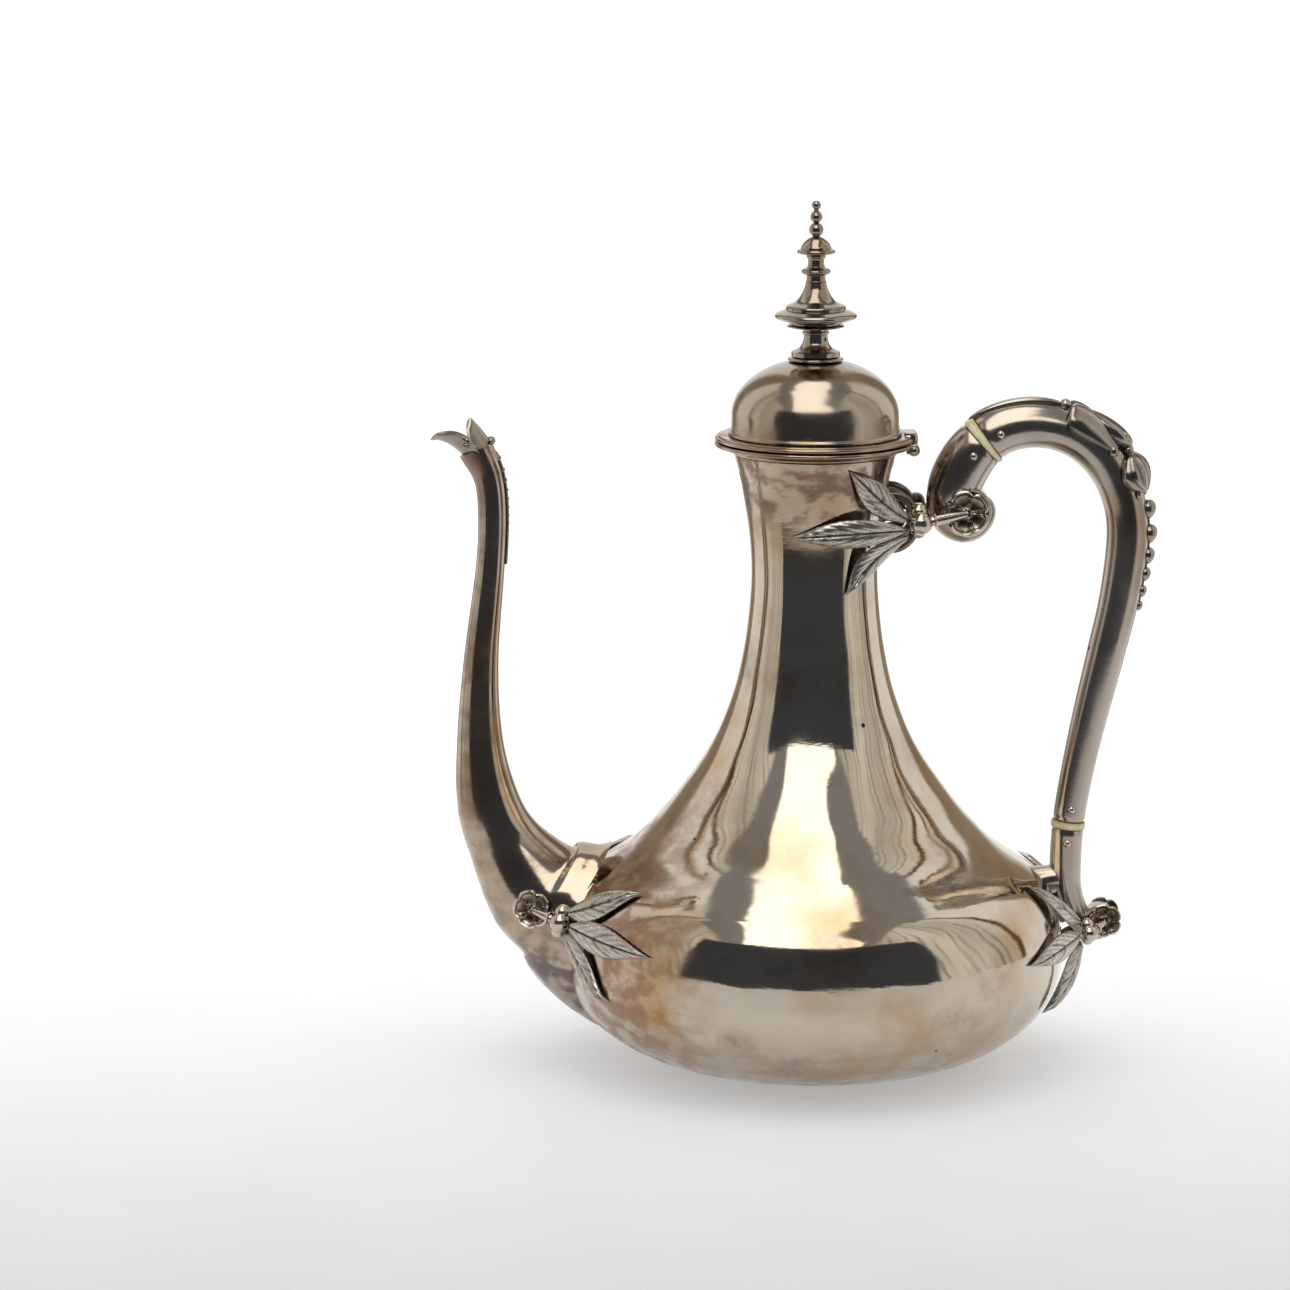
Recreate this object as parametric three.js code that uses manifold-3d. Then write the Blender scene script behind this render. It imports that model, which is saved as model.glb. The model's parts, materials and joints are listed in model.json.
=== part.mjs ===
// A silver coffee pot with a hinged lid, a long curved spout and an insulated scroll handle.
// Millimetres, +Z up. The origin is the centre of the flat face the pot rests on,
// the spout points along -X and the handle and hinge lie along +X.

import * as THREE from 'three';
import { mergeVertices } from 'three/addons/utils/BufferGeometryUtils.js';
import Module from 'manifold-3d';

const wasm = await Module();
wasm.setup();

// ---------------------------------------------------------------- driving dimensions

const GAP = 0.3;                  // left between pieces that touch on the real pot
const WALL = 1;                   // sheet thickness of the body
const BASE_RADIUS = 30;           // flat resting face
const BELLY_RADIUS = 75.6;
const BELLY_HEIGHT = 32;
const NECK_TOP = 184.6;
const MOUTH_RADIUS = 22.4;        // clear opening inside the mouth rim
const SPLIT_HEIGHT = 188.6;       // where the lid rests on the mouth rim
const FLANGE_RADIUS = 30;
const DOME_BASE = 190.4;
const DOME_SPRING = 196;          // where the dome starts to round over
const DOME_RADIUS = 25;
const DOME_RISE = 17;
const DOME_WALL = 1.1;
const FINIAL_BASE = 213.8;
const TOTAL_HEIGHT = 260;

const HINGE_X = 29.2;
const HINGE_Z = 186.2;
const KNUCKLE_RADIUS = 1.8;
const HINGE_PIN_RADIUS = 0.8;
const LID_KNUCKLE = 2.3;          // half length of the lid's knuckle along Y
const HINGE_HALF = 7;             // half length of the whole barrel along Y
const HINGE_NOTCH = HINGE_HALF + 0.4;
const PIN_PLAY = 0.2;             // radial clearance of the hinge pin in its knuckles

const TUBE_WALL = 1.2;            // wall of the handle and the spout
const SPIGOT_LENGTH = 7;          // how far an insulator reaches into each tube
const INSULATOR_THICKNESS = 2.4;
const PIN_RADIUS = 0.9;
const PIN_HEAD = { radius: 1.25, flat: 0.5 };
const BODY_SIDES = 32;            // facets round the body and the rims
const REACH = 12;                 // half length of a cutting rod that passes right through a tube

// Height and radius of the body's outline above the belly.
const SHOULDER = [
  [32, 75.6], [41, 75.1], [49, 73.2], [55, 69.4], [59.5, 63.6], [65.7, 54.8], [72, 48.5],
  [80.5, 41.3], [95.3, 31.2], [110, 24.9], [124.7, 21.3], [139.4, 19.4], [152, 19.0], [165, 20.2],
  [176, 22.1], [184.6, 24.3],
];

// Centre line of the spout: x, z, half height in its plane, half width across it.
const SPOUT = [
  [-40, 33.2, 30, 25.5], [-54, 36, 29, 26], [-68.5, 42.4, 25, 22.5], [-76.6, 47.4, 20, 19], [-83.9, 52.6, 16.5, 15.8],
  [-92.9, 65.5, 11.6, 11.3], [-97.9, 78, 9.6, 9.4], [-100.3, 97, 7, 7], [-99.9, 121, 5.3, 5.3],
  [-97, 150, 4.35, 4.35], [-96.3, 166, 4.3, 4.3], [-97.4, 177, 4.4, 4.4], [-101.2, 185.6, 5.2, 5],
];

// Centre line of the handle: x, z, radius of the tube. It starts inside the upper volute,
// rises over the arch, comes down the grip and ends inside the lower volute.
const HANDLE = [
  [48.2, 164.6, 3.6], [44.4, 162.8, 4.6], [40.2, 166.2, 6.4], [41.2, 173.4, 7.8],
  [44.2, 180.6, 8.1], [48.4, 186.4, 7.8], [54, 190.6, 7.3], [61, 192.7, 7], [68.2, 192.8, 6.8],
  [75.4, 190.9, 6.7], [81.9, 186.8, 6.5], [87.4, 180.8, 6.4], [91.2, 173.6, 6.4],
  [93.2, 165.6, 6.3], [93.4, 156, 6.3], [91.2, 140, 6], [87.6, 124, 5.75], [84, 108.6, 5.45],
  [80.8, 94, 5.1], [78.2, 80, 4.9], [76.9, 70, 4.85], [76.4, 60, 4.8], [76.8, 51.5, 4.6],
  [79.4, 44.2, 4.1], [84.4, 38.9, 3.4], [89.2, 39.4, 2.9],
];

const UPPER_JOINT = [50.9, 187.8];
const LOWER_JOINT = [76.95, 71.4];
const UPPER_VOLUTE = { x: 44, z: 166.9, radius: 6.2, half: 6.6 };
const LOWER_VOLUTE = { x: 87.1, z: 41.7, radius: 4.2, half: 3.6 };

// Cast sprays. A leaf's root is x, y, z in front of the pot; its tip is x, z on the body.
const SPRAYS = {
  handle_top: {
    flower: [44.6, -7.3, 167.6],
    flowerRadius: 7.2,
    stemRadius: 1.5,
    berries: [[31.2, -12.6, 165.2, 3.5], [30.4, -10, 169.3, 2.6], [30.6, -10, 160.9, 2.6]],
    leaves: {
      upper: { root: [27, -11.5, 168], tip: [9.2, 182.6], width: 6.6 },
      middle: { root: [26.4, -13.4, 164.9], tip: [-7.5, 162.2], width: 7.6 },
      lower: { root: [26.4, -11.5, 161.6], tip: [8.5, 144.3], width: 6.4 },
    },
  },
  handle_foot: {
    flower: [88.2, -3.9, 42.8],
    flowerRadius: 5.2,
    stemRadius: 1.1,
    berries: [[83.2, -10.6, 39.8, 2.5], [82.5, -8.8, 43, 2], [82.7, -8.8, 36.6, 2]],
    leaves: {
      upper: { root: [79.6, -10, 43.4], tip: [62.6, 57], width: 5 },
      middle: { root: [78.8, -12.6, 39.6], tip: [62.4, 37.5], width: 6.4 },
      lower: { root: [79.4, -10.5, 35.2], tip: [67.2, 19], width: 5 },
    },
  },
  spout_foot: {
    flower: [-84.3, -16.9, 49],
    flowerRadius: 6,
    lean: 0.42,
    stemRadius: 1.2,
    berries: [[-76.2, -23.2, 46.2, 3.1], [-76.2, -22, 50.2, 2.4], [-77.6, -22, 42.6, 2.4]],
    leaves: {
      upper: { root: [-72.8, -24.6, 47.4], tip: [-51.4, 58.6], width: 5.6 },
      middle: { root: [-72, -27, 44.8], tip: [-49, 43.6], width: 7 },
      lower: { root: [-74, -24.4, 40.6], tip: [-61.4, 26.2], width: 6 },
    },
  },
};

// ---------------------------------------------------------------- materials

const silver = (color, roughness) => new THREE.MeshStandardMaterial({ color, roughness, metalness: 1 });
const polishedSilver = () => silver(0xb9b4ab, 0.18);
const castSilver = () => silver(0x9a958c, 0.34);
const ivory = () => new THREE.MeshStandardMaterial({ color: 0xd8d0a4, roughness: 0.45, metalness: 0 });

// ---------------------------------------------------------------- shape helpers

/** Moves every vertex of a geometry to the place that `move` gives for it. */
function deform(geometry, move) {
  const position = geometry.attributes.position;
  const vertex = new THREE.Vector3();
  for (let i = 0; i < position.count; i += 1) {
    vertex.fromBufferAttribute(position, i);
    const moved = move(vertex);
    position.setXYZ(i, moved.x, moved.y, moved.z);
  }
  return geometry;
}

/** Welds a closed geometry and makes a solid of it. */
function solid(geometry) {
  const bare = geometry.clone();
  bare.deleteAttribute('normal');
  bare.deleteAttribute('uv');
  const welded = mergeVertices(bare, 1e-3);
  const corners = welded.index.array;
  const triangles = [];
  for (let i = 0; i < corners.length; i += 3) {
    const [a, b, c] = corners.slice(i, i + 3);
    if (a !== b && b !== c && c !== a) triangles.push(a, b, c);
  }
  return new wasm.Manifold(new wasm.Mesh({
    numProp: 3,
    vertProperties: welded.attributes.position.array,
    triVerts: new Uint32Array(triangles),
  }));
}

/** Joins several geometries into one solid. */
const joined = (...geometries) => geometries.map(solid).reduce((whole, piece) => whole.add(piece));

/** Turns a solid back into a geometry. */
function geometryOf(body) {
  const mesh = body.getMesh();
  const geometry = new THREE.BufferGeometry();
  geometry.setAttribute('position', new THREE.BufferAttribute(mesh.vertProperties, 3));
  geometry.setIndex(new THREE.BufferAttribute(mesh.triVerts, 1));
  geometry.computeVertexNormals();
  return geometry;
}

/** Revolves an outline of [radius, height] pairs about the Z axis. */
function turned(outline, segments) {
  const points = outline.map(([radius, height]) => new THREE.Vector2(radius, height));
  return new THREE.LatheGeometry(points, segments).rotateX(Math.PI / 2);
}

/** A ring whose section is a closed outline that runs anticlockwise with the radius to the right. */
const ring = (section, segments) => turned([...section, section[0]], segments);

/** A box given by its lowest and highest corners. */
function block([x0, y0, z0], [x1, y1, z1]) {
  return new THREE.BoxGeometry(x1 - x0, y1 - y0, z1 - z0)
    .translate((x0 + x1) / 2, (y0 + y1) / 2, (z0 + z1) / 2);
}

/** A round rod along Y between two heights of y. */
function rodAlongY(x, z, radius, from, to, sides = 12) {
  return new THREE.CylinderGeometry(radius, radius, to - from, sides).translate(x, (from + to) / 2, z);
}

/** A round, tapering rod between two points. */
function rod(from, to, fromRadius, toRadius, sides = 8) {
  const start = new THREE.Vector3(...from);
  const end = new THREE.Vector3(...to);
  const along = end.clone().sub(start);
  const turn = new THREE.Quaternion().setFromUnitVectors(new THREE.Vector3(0, 1, 0), along.clone().normalize());
  return new THREE.CylinderGeometry(toRadius, fromRadius, along.length(), sides)
    .applyQuaternion(turn)
    .translate(...start.add(end).multiplyScalar(0.5).toArray());
}

/** A curve in the XZ plane with a half height and half width at each of its stations. */
function limb(stations) {
  const path = new THREE.CatmullRomCurve3(stations.map(([x, z]) => new THREE.Vector3(x, 0, z)));
  path.arcLengthDivisions = 600;
  const sizes = new THREE.SplineCurve(stations.map(([, , high, wide = high]) => new THREE.Vector2(high, wide)));
  const length = path.getLength();
  const at = (distance) => {
    const t = path.getUtoTmapping(THREE.MathUtils.clamp(distance / length, 0, 1));
    const along = path.getTangent(t);
    const size = sizes.getPoint(t);
    return {
      centre: path.getPoint(t),
      outward: new THREE.Vector3(-along.z, 0, along.x),
      high: size.x,
      wide: size.y,
    };
  };
  const nearest = ([x, z]) => {
    const target = new THREE.Vector3(x, 0, z);
    const steps = Array.from({ length: 801 }, (_, i) => (length * i) / 800);
    return steps.reduce((best, distance) => (
      at(distance).centre.distanceTo(target) < at(best).centre.distanceTo(target) ? distance : best));
  };
  return { length, at, nearest };
}

/** A closed tube along part of a limb, its section grown or shrunk by `grow`. */
function swept(line, from, to, grow, sides, steps) {
  return deform(new THREE.CylinderGeometry(1, 1, 1, sides, steps), (vertex) => {
    const { centre, outward, high, wide } = line.at(from + (to - from) * (vertex.y + 0.5));
    return centre
      .addScaledVector(outward, -vertex.x * (high + grow))
      .add(new THREE.Vector3(0, -vertex.z * (wide + grow), 0));
  });
}

/** Adds a named mesh to a parent. */
function add(parent, name, shape, material) {
  const geometry = shape.isBufferGeometry ? shape : geometryOf(shape);
  const mesh = new THREE.Mesh(geometry, material);
  mesh.name = name;
  parent.add(mesh);
}

// ---------------------------------------------------------------- the body's outline

const shoulder = new THREE.SplineCurve(SHOULDER.map(([height, radius]) => new THREE.Vector2(height, radius)));

/** Radius of the body at a height: an elliptical quarter below the belly, a spline above it. */
function bodyRadius(height) {
  if (height <= BELLY_HEIGHT) {
    const drop = THREE.MathUtils.clamp(1 - height / BELLY_HEIGHT, 0, 1);
    return BASE_RADIUS + (BELLY_RADIUS - BASE_RADIUS) * Math.sqrt(1 - drop * drop);
  }
  let low = 0;
  let high = 1;
  for (let i = 0; i < 30; i += 1) {
    const middle = (low + high) / 2;
    if (shoulder.getPoint(middle).x < height) low = middle;
    else high = middle;
  }
  return shoulder.getPoint(low).y;
}

/** The body's outline from the edge of the flat base to the neck's top, moved out by `grow`. */
function bodyOutline(grow, belowSteps = 4, aboveSteps = 16) {
  const below = Array.from({ length: belowSteps }, (_, i) => {
    const angle = (i / belowSteps) * (Math.PI / 2);
    return [BASE_RADIUS + (BELLY_RADIUS - BASE_RADIUS) * Math.sin(angle), BELLY_HEIGHT * (1 - Math.cos(angle))];
  });
  const above = Array.from({ length: aboveSteps + 1 }, (_, i) => {
    const point = shoulder.getPoint(i / aboveSteps);
    return [point.y, point.x];
  });
  const outline = [...below, ...above];
  return outline.map(([radius, height], i) => {
    const [r0, z0] = outline[Math.max(i - 1, 0)];
    const [r1, z1] = outline[Math.min(i + 1, outline.length - 1)];
    const slope = Math.hypot(r1 - r0, z1 - z0);
    return [radius + (grow * (z1 - z0)) / slope, height - (grow * (r1 - r0)) / slope];
  });
}

/** The body filled in and grown, used to trim what stands on it. */
function filledBody(grow) {
  const outline = bodyOutline(grow);
  const base = outline[0][1];
  const top = outline.at(-1)[1];
  return solid(turned([[0, base], ...outline, [0, top]], BODY_SIDES));
}

// ---------------------------------------------------------------- body and mouth

const spout = limb(SPOUT);
const handle = limb(HANDLE);

/** The hollow body, its inner wall pierced with strainer holes behind the spout. */
function potBody() {
  const outer = bodyOutline(0);
  const inner = bodyOutline(-WALL).filter(([, height]) => height > WALL + 0.4).reverse();
  inner[0] = [inner[0][0], NECK_TOP];
  let shell = solid(turned([[0, 0], ...outer, ...inner, [inner.at(-1)[0] - 14, WALL], [0, WALL]], BODY_SIDES));
  const rows = [[22, 0], [31, -9], [31, 0], [31, 9], [40, -6], [40, 6], [49, 0]];
  for (const [height, across] of rows) {
    const hole = new THREE.CylinderGeometry(1.6, 1.6, 30, 6)
      .rotateZ(Math.PI / 2)
      .translate(-bodyRadius(height), across, height);
    shell = shell.subtract(solid(hole));
  }
  return shell;
}

/** The reeded ring round the mouth, with a wire below it and a notch for the hinge. */
function mouthRim() {
  const top = SPLIT_HEIGHT - 0.4;
  const bottom = NECK_TOP + GAP;
  const body = solid(ring([
    [MOUTH_RADIUS, bottom], [24.8, bottom], [25.4, bottom + 0.7], [24.9, bottom + 1.4],
    [27.6, top - 1.4], [29.5, top - 1.1], [29.9, top - 0.5], [29.4, top], [MOUTH_RADIUS, top],
  ], BODY_SIDES));
  return body.subtract(solid(block([HINGE_X - 2.5, -HINGE_NOTCH, NECK_TOP - 1], [40, HINGE_NOTCH, 200])));
}

// ---------------------------------------------------------------- spout

/** The spout's tube, open at both ends and trimmed to the body. */
function spoutTube() {
  const outer = solid(swept(spout, 0, spout.length, 0, 14, 18));
  const inner = solid(swept(spout, 0, spout.length + 1, -TUBE_WALL, 10, 14));
  const mouth = spout.at(spout.length);
  const below = spout.at(spout.length - 4);
  const bore = rod(below.centre.toArray(), [mouth.centre.x - 0.6, 0, mouth.centre.z + 3], 3.1, 3.9, 12);
  return outer.subtract(inner).subtract(solid(bore)).subtract(filledBody(GAP));
}

/**
 * A cupped leaf along a straight line in the XZ plane: its middle follows the line,
 * its edges stand `cup` above it, and it is pointed at the tip.
 */
function cuppedLeaf(from, to, width, thickness, cup, bow) {
  const start = new THREE.Vector3(from[0], 0, from[1]);
  const along = new THREE.Vector3(to[0] - from[0], 0, to[1] - from[1]);
  const outward = new THREE.Vector3(-along.z, 0, along.x).normalize();
  return deform(new THREE.SphereGeometry(1, 10, 8), (vertex) => {
    const s = Math.acos(THREE.MathUtils.clamp(vertex.y, -1, 1)) / Math.PI;
    const ringSize = Math.max(Math.hypot(vertex.x, vertex.z), 1e-9);
    const spread = leafShape(s);
    const across = (vertex.x / ringSize) * spread;
    const lift = (vertex.z / ringSize) * spread * (thickness / 2);
    const height = lift + cup * across * across + bow * Math.sin(Math.PI * s);
    return start.clone()
      .addScaledVector(along, s)
      .addScaledVector(outward, height)
      .add(new THREE.Vector3(0, across * (width / 2), 0));
  });
}

/** Half width of a leaf along its length, from 0 at the root to 1 at its widest and 0 at the tip. */
function leafShape(s) {
  return Math.pow(Math.sin(Math.PI * Math.pow(s, 0.85)), 0.8);
}

/** The small leaf that makes the pouring lip. */
function spoutLip() {
  const leaf = solid(cuppedLeaf([-103.2, 184.2], [-114.8, 188.5], 11, 1.4, -3, -0.8));
  return leaf.subtract(solid(swept(spout, spout.length - 12, spout.length, GAP, 16, 6)));
}

/** The bud that stands behind the spout's mouth. */
function spoutCalyx() {
  const leaf = solid(cuppedLeaf([-92.6, 177], [-103, 195.2], 11, 1.8, 2.4, -1.4));
  return leaf.subtract(solid(swept(spout, spout.length - 20, spout.length, GAP, 16, 10)));
}

/** The rib with graduated beads down the back of the spout. */
function spoutBeadCrest() {
  const top = spout.nearest([-97, 175]);
  const bottom = spout.nearest([-97, 151]);
  const count = 8;
  const rib = Array.from({ length: 7 }, (_, i) => {
    const { centre, outward, high } = spout.at(top + ((bottom - top) * i) / 6);
    return centre.addScaledVector(outward, -(high + 0.75));
  });
  let crest = solid(strip(rib, 0.5, 0.7));
  for (let i = 0; i < count; i += 1) {
    const share = i / (count - 1);
    const { centre, outward, high } = spout.at(top + (bottom - top) * (0.04 + 0.92 * share));
    const middle = centre.addScaledVector(outward, -(high + 1.1));
    const bead = new THREE.SphereGeometry(1.2 - 0.4 * share, 5, 4).translate(...middle.toArray());
    crest = crest.add(solid(bead));
  }
  return crest.subtract(solid(swept(spout, bottom - 6, top + 6, GAP, 16, 14)));
}

/** A square-cornered strip through points, `deep` thick in the XZ plane and `wide` across it. */
function strip(points, deep, wide) {
  const section = new THREE.Shape([
    new THREE.Vector2(-wide, -deep), new THREE.Vector2(wide, -deep),
    new THREE.Vector2(wide, deep), new THREE.Vector2(-wide, deep),
  ]);
  return new THREE.ExtrudeGeometry(section, {
    steps: points.length - 1,
    bevelEnabled: false,
    extrudePath: new THREE.CatmullRomCurve3(points),
  });
}

// ---------------------------------------------------------------- handle

const upperJoint = handle.nearest(UPPER_JOINT);
const lowerJoint = handle.nearest(LOWER_JOINT);
const halfRing = INSULATOR_THICKNESS / 2;

/** Where the four insulator pins cross the handle, as distances along it. */
const PIN_PLACES = {
  handle_pin_upper_socket: upperJoint - halfRing - 4,
  handle_pin_upper_grip: upperJoint + halfRing + 4,
  handle_pin_lower_grip: lowerJoint - halfRing - 4,
  handle_pin_lower_socket: lowerJoint + halfRing + 4,
};

/** Removes the holes of the pins that cross a piece of the handle. */
function drilled(body, from, to) {
  let result = body;
  for (const place of Object.values(PIN_PLACES)) {
    if (place < from || place > to) continue;
    const { centre } = handle.at(place);
    const hole = rodAlongY(centre.x, centre.z, PIN_RADIUS + GAP / 2, -REACH, REACH);
    result = result.subtract(solid(hole));
  }
  return result;
}

/** A boss that closes the middle of a volute. */
function voluteBoss({ x, z, radius, half }) {
  return rodAlongY(x, z, radius, -half, half, 14);
}

/** The cast end of the handle at the neck. */
function handleUpperSocket() {
  const end = upperJoint - halfRing - GAP / 2;
  const scroll = joined(swept(handle, 0, end, 0, 12, 11), voluteBoss(UPPER_VOLUTE));
  const socket = swept(handle, end - SPIGOT_LENGTH - 1, end + 1, -TUBE_WALL, 12, 3);
  return drilled(scroll.subtract(solid(socket)), 0, end);
}

/** The cast end of the handle on the body's shoulder. */
function handleLowerSocket() {
  const start = lowerJoint + halfRing + GAP / 2;
  const scroll = joined(swept(handle, start, handle.length, 0, 12, 11), voluteBoss(LOWER_VOLUTE));
  const socket = swept(handle, start - 1, start + SPIGOT_LENGTH + 1, -TUBE_WALL, 12, 2);
  return drilled(scroll.subtract(solid(socket)).subtract(filledBody(GAP)), start, handle.length);
}

const gripStart = upperJoint + halfRing + GAP / 2;
const gripEnd = lowerJoint - halfRing - GAP / 2;

/** The hollow C-shaped grip. */
function handleGrip() {
  const tube = solid(swept(handle, gripStart, gripEnd, 0, 12, 19));
  const hollow = solid(swept(handle, gripStart - 1, gripEnd + 1, -TUBE_WALL, 8, 17));
  return drilled(tube.subtract(hollow), gripStart, gripEnd);
}

/** An insulating ring with a spigot into the tube on each side. */
function insulator(joint) {
  const from = joint - halfRing - SPIGOT_LENGTH;
  const to = joint + halfRing + SPIGOT_LENGTH;
  const collar = swept(handle, joint - halfRing + GAP / 2, joint + halfRing - GAP / 2, 0.35, 12, 1);
  const spigot = swept(handle, from, to, -TUBE_WALL - 0.65, 8, 3);
  return drilled(joined(collar, spigot), from, to);
}

/** A pin across the handle with a low domed head at each end. */
function handlePin(place) {
  const { centre, wide } = handle.at(place);
  const half = wide + GAP;
  const heads = [-1, 1].map((side) => new THREE.SphereGeometry(PIN_HEAD.radius, 8, 3)
    .scale(1, PIN_HEAD.flat, 1)
    .translate(centre.x, side * half, centre.z));
  const pin = joined(rodAlongY(centre.x, centre.z, PIN_RADIUS, -half, half, 8), ...heads);
  const hollow = solid(swept(handle, place - 4, place + 4, -TUBE_WALL, 8, 2));
  const hole = solid(rodAlongY(centre.x, centre.z, PIN_RADIUS + 0.1, -REACH, REACH, 8));
  const wall = solid(swept(handle, place - 3, place + 3, GAP / 2, 12, 2)).subtract(hollow).subtract(hole);
  return pin.subtract(wall);
}

/** A point on the outside of the handle, `out` above its surface. */
function onHandle(distance, out) {
  const { centre, outward, high } = handle.at(distance);
  return centre.addScaledVector(outward, high + out);
}

/** A bud that lies along the back of the handle, with `bulge` giving its height along it. */
function handleBud(from, to, width, bulge) {
  const bud = deform(new THREE.SphereGeometry(1, 10, 8), (vertex) => {
    const s = Math.acos(THREE.MathUtils.clamp(vertex.y, -1, 1)) / Math.PI;
    const ringSize = Math.max(Math.hypot(vertex.x, vertex.z), 1e-9);
    const spread = Math.sin(Math.PI * s) ** 0.6;
    const { centre, outward, high } = handle.at(from + (to - from) * s);
    return centre
      .addScaledVector(outward, high - 1 + (vertex.z / ringSize) * spread * bulge(s))
      .add(new THREE.Vector3(0, (vertex.x / ringSize) * spread * (width / 2), 0));
  });
  return solid(bud).subtract(solid(swept(handle, from - 2, to + 2, GAP, 12, 8)));
}

/** The raised strip that a thumb rests on, ending in a bead. */
function handleRidge() {
  const from = handle.nearest([52.5, 190.2]);
  const to = handle.nearest([70.5, 192.4]);
  const line = Array.from({ length: 7 }, (_, i) => onHandle(from + ((to - from) * i) / 6, 0.35));
  const bead = new THREE.SphereGeometry(1.9, 8, 6).translate(...onHandle(to + 0.6, 0.5).toArray());
  return joined(strip(line, 0.9, 1.3), bead)
    .subtract(solid(swept(handle, from - 2, to + 4, GAP, 12, 8)));
}

/** Graduated beads on a thin rib down the back of the handle. */
function handleBeadRow() {
  const from = handle.nearest([93.2, 167.4]);
  const to = handle.nearest([90.8, 138]);
  const rib = Array.from({ length: 8 }, (_, i) => onHandle(from + ((to - from) * i) / 7, 0.35));
  const beads = [0.08, 0.29, 0.47, 0.64, 0.8, 0.94].map((share, i) => {
    const place = from + (to - from) * share;
    const size = 3 - i * 0.28;
    return new THREE.SphereGeometry(size, 6, 4)
      .scale(0.75, 0.8, 1)
      .translate(...onHandle(place, 0.5 - i * 0.05).toArray());
  });
  return joined(strip(rib, 0.6, 0.8), ...beads)
    .subtract(solid(swept(handle, from - 3, to + 3, GAP, 12, 10)));
}

// ---------------------------------------------------------------- cast sprays

/**
 * A leaf that starts free in front of the pot and lies down on the body towards its tip.
 * `side` is -1 for the front of the pot and 1 for the back.
 */
function sprayLeaf({ root, tip, width }, side) {
  const [rootX, rootY, rootZ] = root;
  const [tipX, tipZ] = tip;
  const thickness = 1.7;
  const rootAngle = Math.atan2(-rootY, rootX);
  const tipAngle = Math.acos(tipX / bodyRadius(tipZ));
  const rootLift = Math.hypot(rootX, rootY) - bodyRadius(rootZ);
  return deform(new THREE.SphereGeometry(1, 6, 7), (vertex) => {
    const s = Math.acos(THREE.MathUtils.clamp(vertex.y, -1, 1)) / Math.PI;
    const ringSize = Math.max(Math.hypot(vertex.x, vertex.z), 1e-9);
    const spread = leafShape(s);
    const across = side * (vertex.x / ringSize) * spread * (width / 2);
    const middleZ = rootZ + (tipZ - rootZ) * s;
    const radius = bodyRadius(middleZ);
    const turn = (tipAngle - rootAngle) * radius;
    const rise = tipZ - rootZ;
    const length = Math.hypot(turn, rise);
    const angle = rootAngle + (tipAngle - rootAngle) * s - (rise / length) * (across / radius);
    const z = middleZ + (turn / length) * across;
    const flat = GAP + 0.15 + thickness / 2;
    const lift = flat + (rootLift - flat) * (1 - s) ** 2.5 + (vertex.z / ringSize) * spread * (thickness / 2);
    const distance = bodyRadius(z) + lift;
    return new THREE.Vector3(distance * Math.cos(angle), side * distance * Math.sin(angle), z);
  });
}

/** A five-petal flower: a turned dish whose radius swells and shrinks round it. */
function sprayFlower({ flower, flowerRadius, lean = 0 }, side) {
  const r = flowerRadius;
  const dish = turned([
    [0, 0], [r * 0.7, 0.2], [r, 1.5], [r * 0.5, 1.2], [r * 0.25, 2.2], [0, 2.5],
  ], 15);
  const petals = deform(dish, (vertex) => {
    const angle = Math.atan2(vertex.y, vertex.x);
    const distance = Math.hypot(vertex.x, vertex.y);
    const lobe = 1 - 0.2 * (1 - Math.abs(Math.cos(2.5 * angle))) * Math.min(distance / r, 1);
    return new THREE.Vector3(vertex.x * lobe, vertex.y * lobe, vertex.z);
  });
  const [x, y, z] = flower;
  return petals.rotateX(side < 0 ? Math.PI / 2 : -Math.PI / 2)
    .rotateZ(side * lean)
    .translate(x, -side * y, z);
}

/** The berries with the stem that comes from the flower. */
function sprayBerries({ flower, berries, stemRadius }, side) {
  const front = ([x, y, z]) => [x, -side * y, z];
  const [main] = berries;
  const stemStart = [flower[0], flower[1] - 3.2, flower[2]];
  const toward = new THREE.Vector3(...stemStart).lerp(new THREE.Vector3(...main), 0.18).toArray();
  const stem = rod(front(toward), front(main), stemRadius * 0.6, stemRadius);
  const balls = berries.map(([x, y, z, radius]) => new THREE.SphereGeometry(radius, 6, 4)
    .rotateX(Math.PI / 2)
    .translate(...front([x, y, z])));
  return joined(stem, ...balls);
}

/** Adds the front and back copies of a spray, each of five pieces. */
function addSprays(parent) {
  for (const [place, spray] of Object.entries(SPRAYS)) {
    for (const [face, side] of [['front', -1], ['back', 1]]) {
      const name = `${place}_${face}`;
      for (const [level, leaf] of Object.entries(spray.leaves)) {
        add(parent, `${name}_leaf_${level}`, sprayLeaf(leaf, side), castSilver());
      }
      add(parent, `${name}_berries`, sprayBerries(spray, side), castSilver());
      add(parent, `${name}_flower`, sprayFlower(spray, side), castSilver());
    }
  }
}

// ---------------------------------------------------------------- lid

/** The lid's dome: an upright wall that rounds over, open in the middle for the finial's stud. */
function lidDome() {
  const hole = 2.5;
  const side = (grow) => [[25.9 + grow, DOME_BASE], [25.3 + grow, 192.6], [DOME_RADIUS + grow, DOME_SPRING]];
  const cap = (grow) => Array.from({ length: 6 }, (_, i) => {
    const angle = ((i + 1) / 6) * Math.acos(hole / (DOME_RADIUS + grow));
    return [(DOME_RADIUS + grow) * Math.cos(angle), DOME_SPRING + (DOME_RISE + grow) * Math.sin(angle)];
  });
  const outer = [...side(0), ...cap(0)];
  const inner = [...side(-DOME_WALL), ...cap(-DOME_WALL)].reverse();
  return ring([...outer, ...inner], 28);
}

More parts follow.
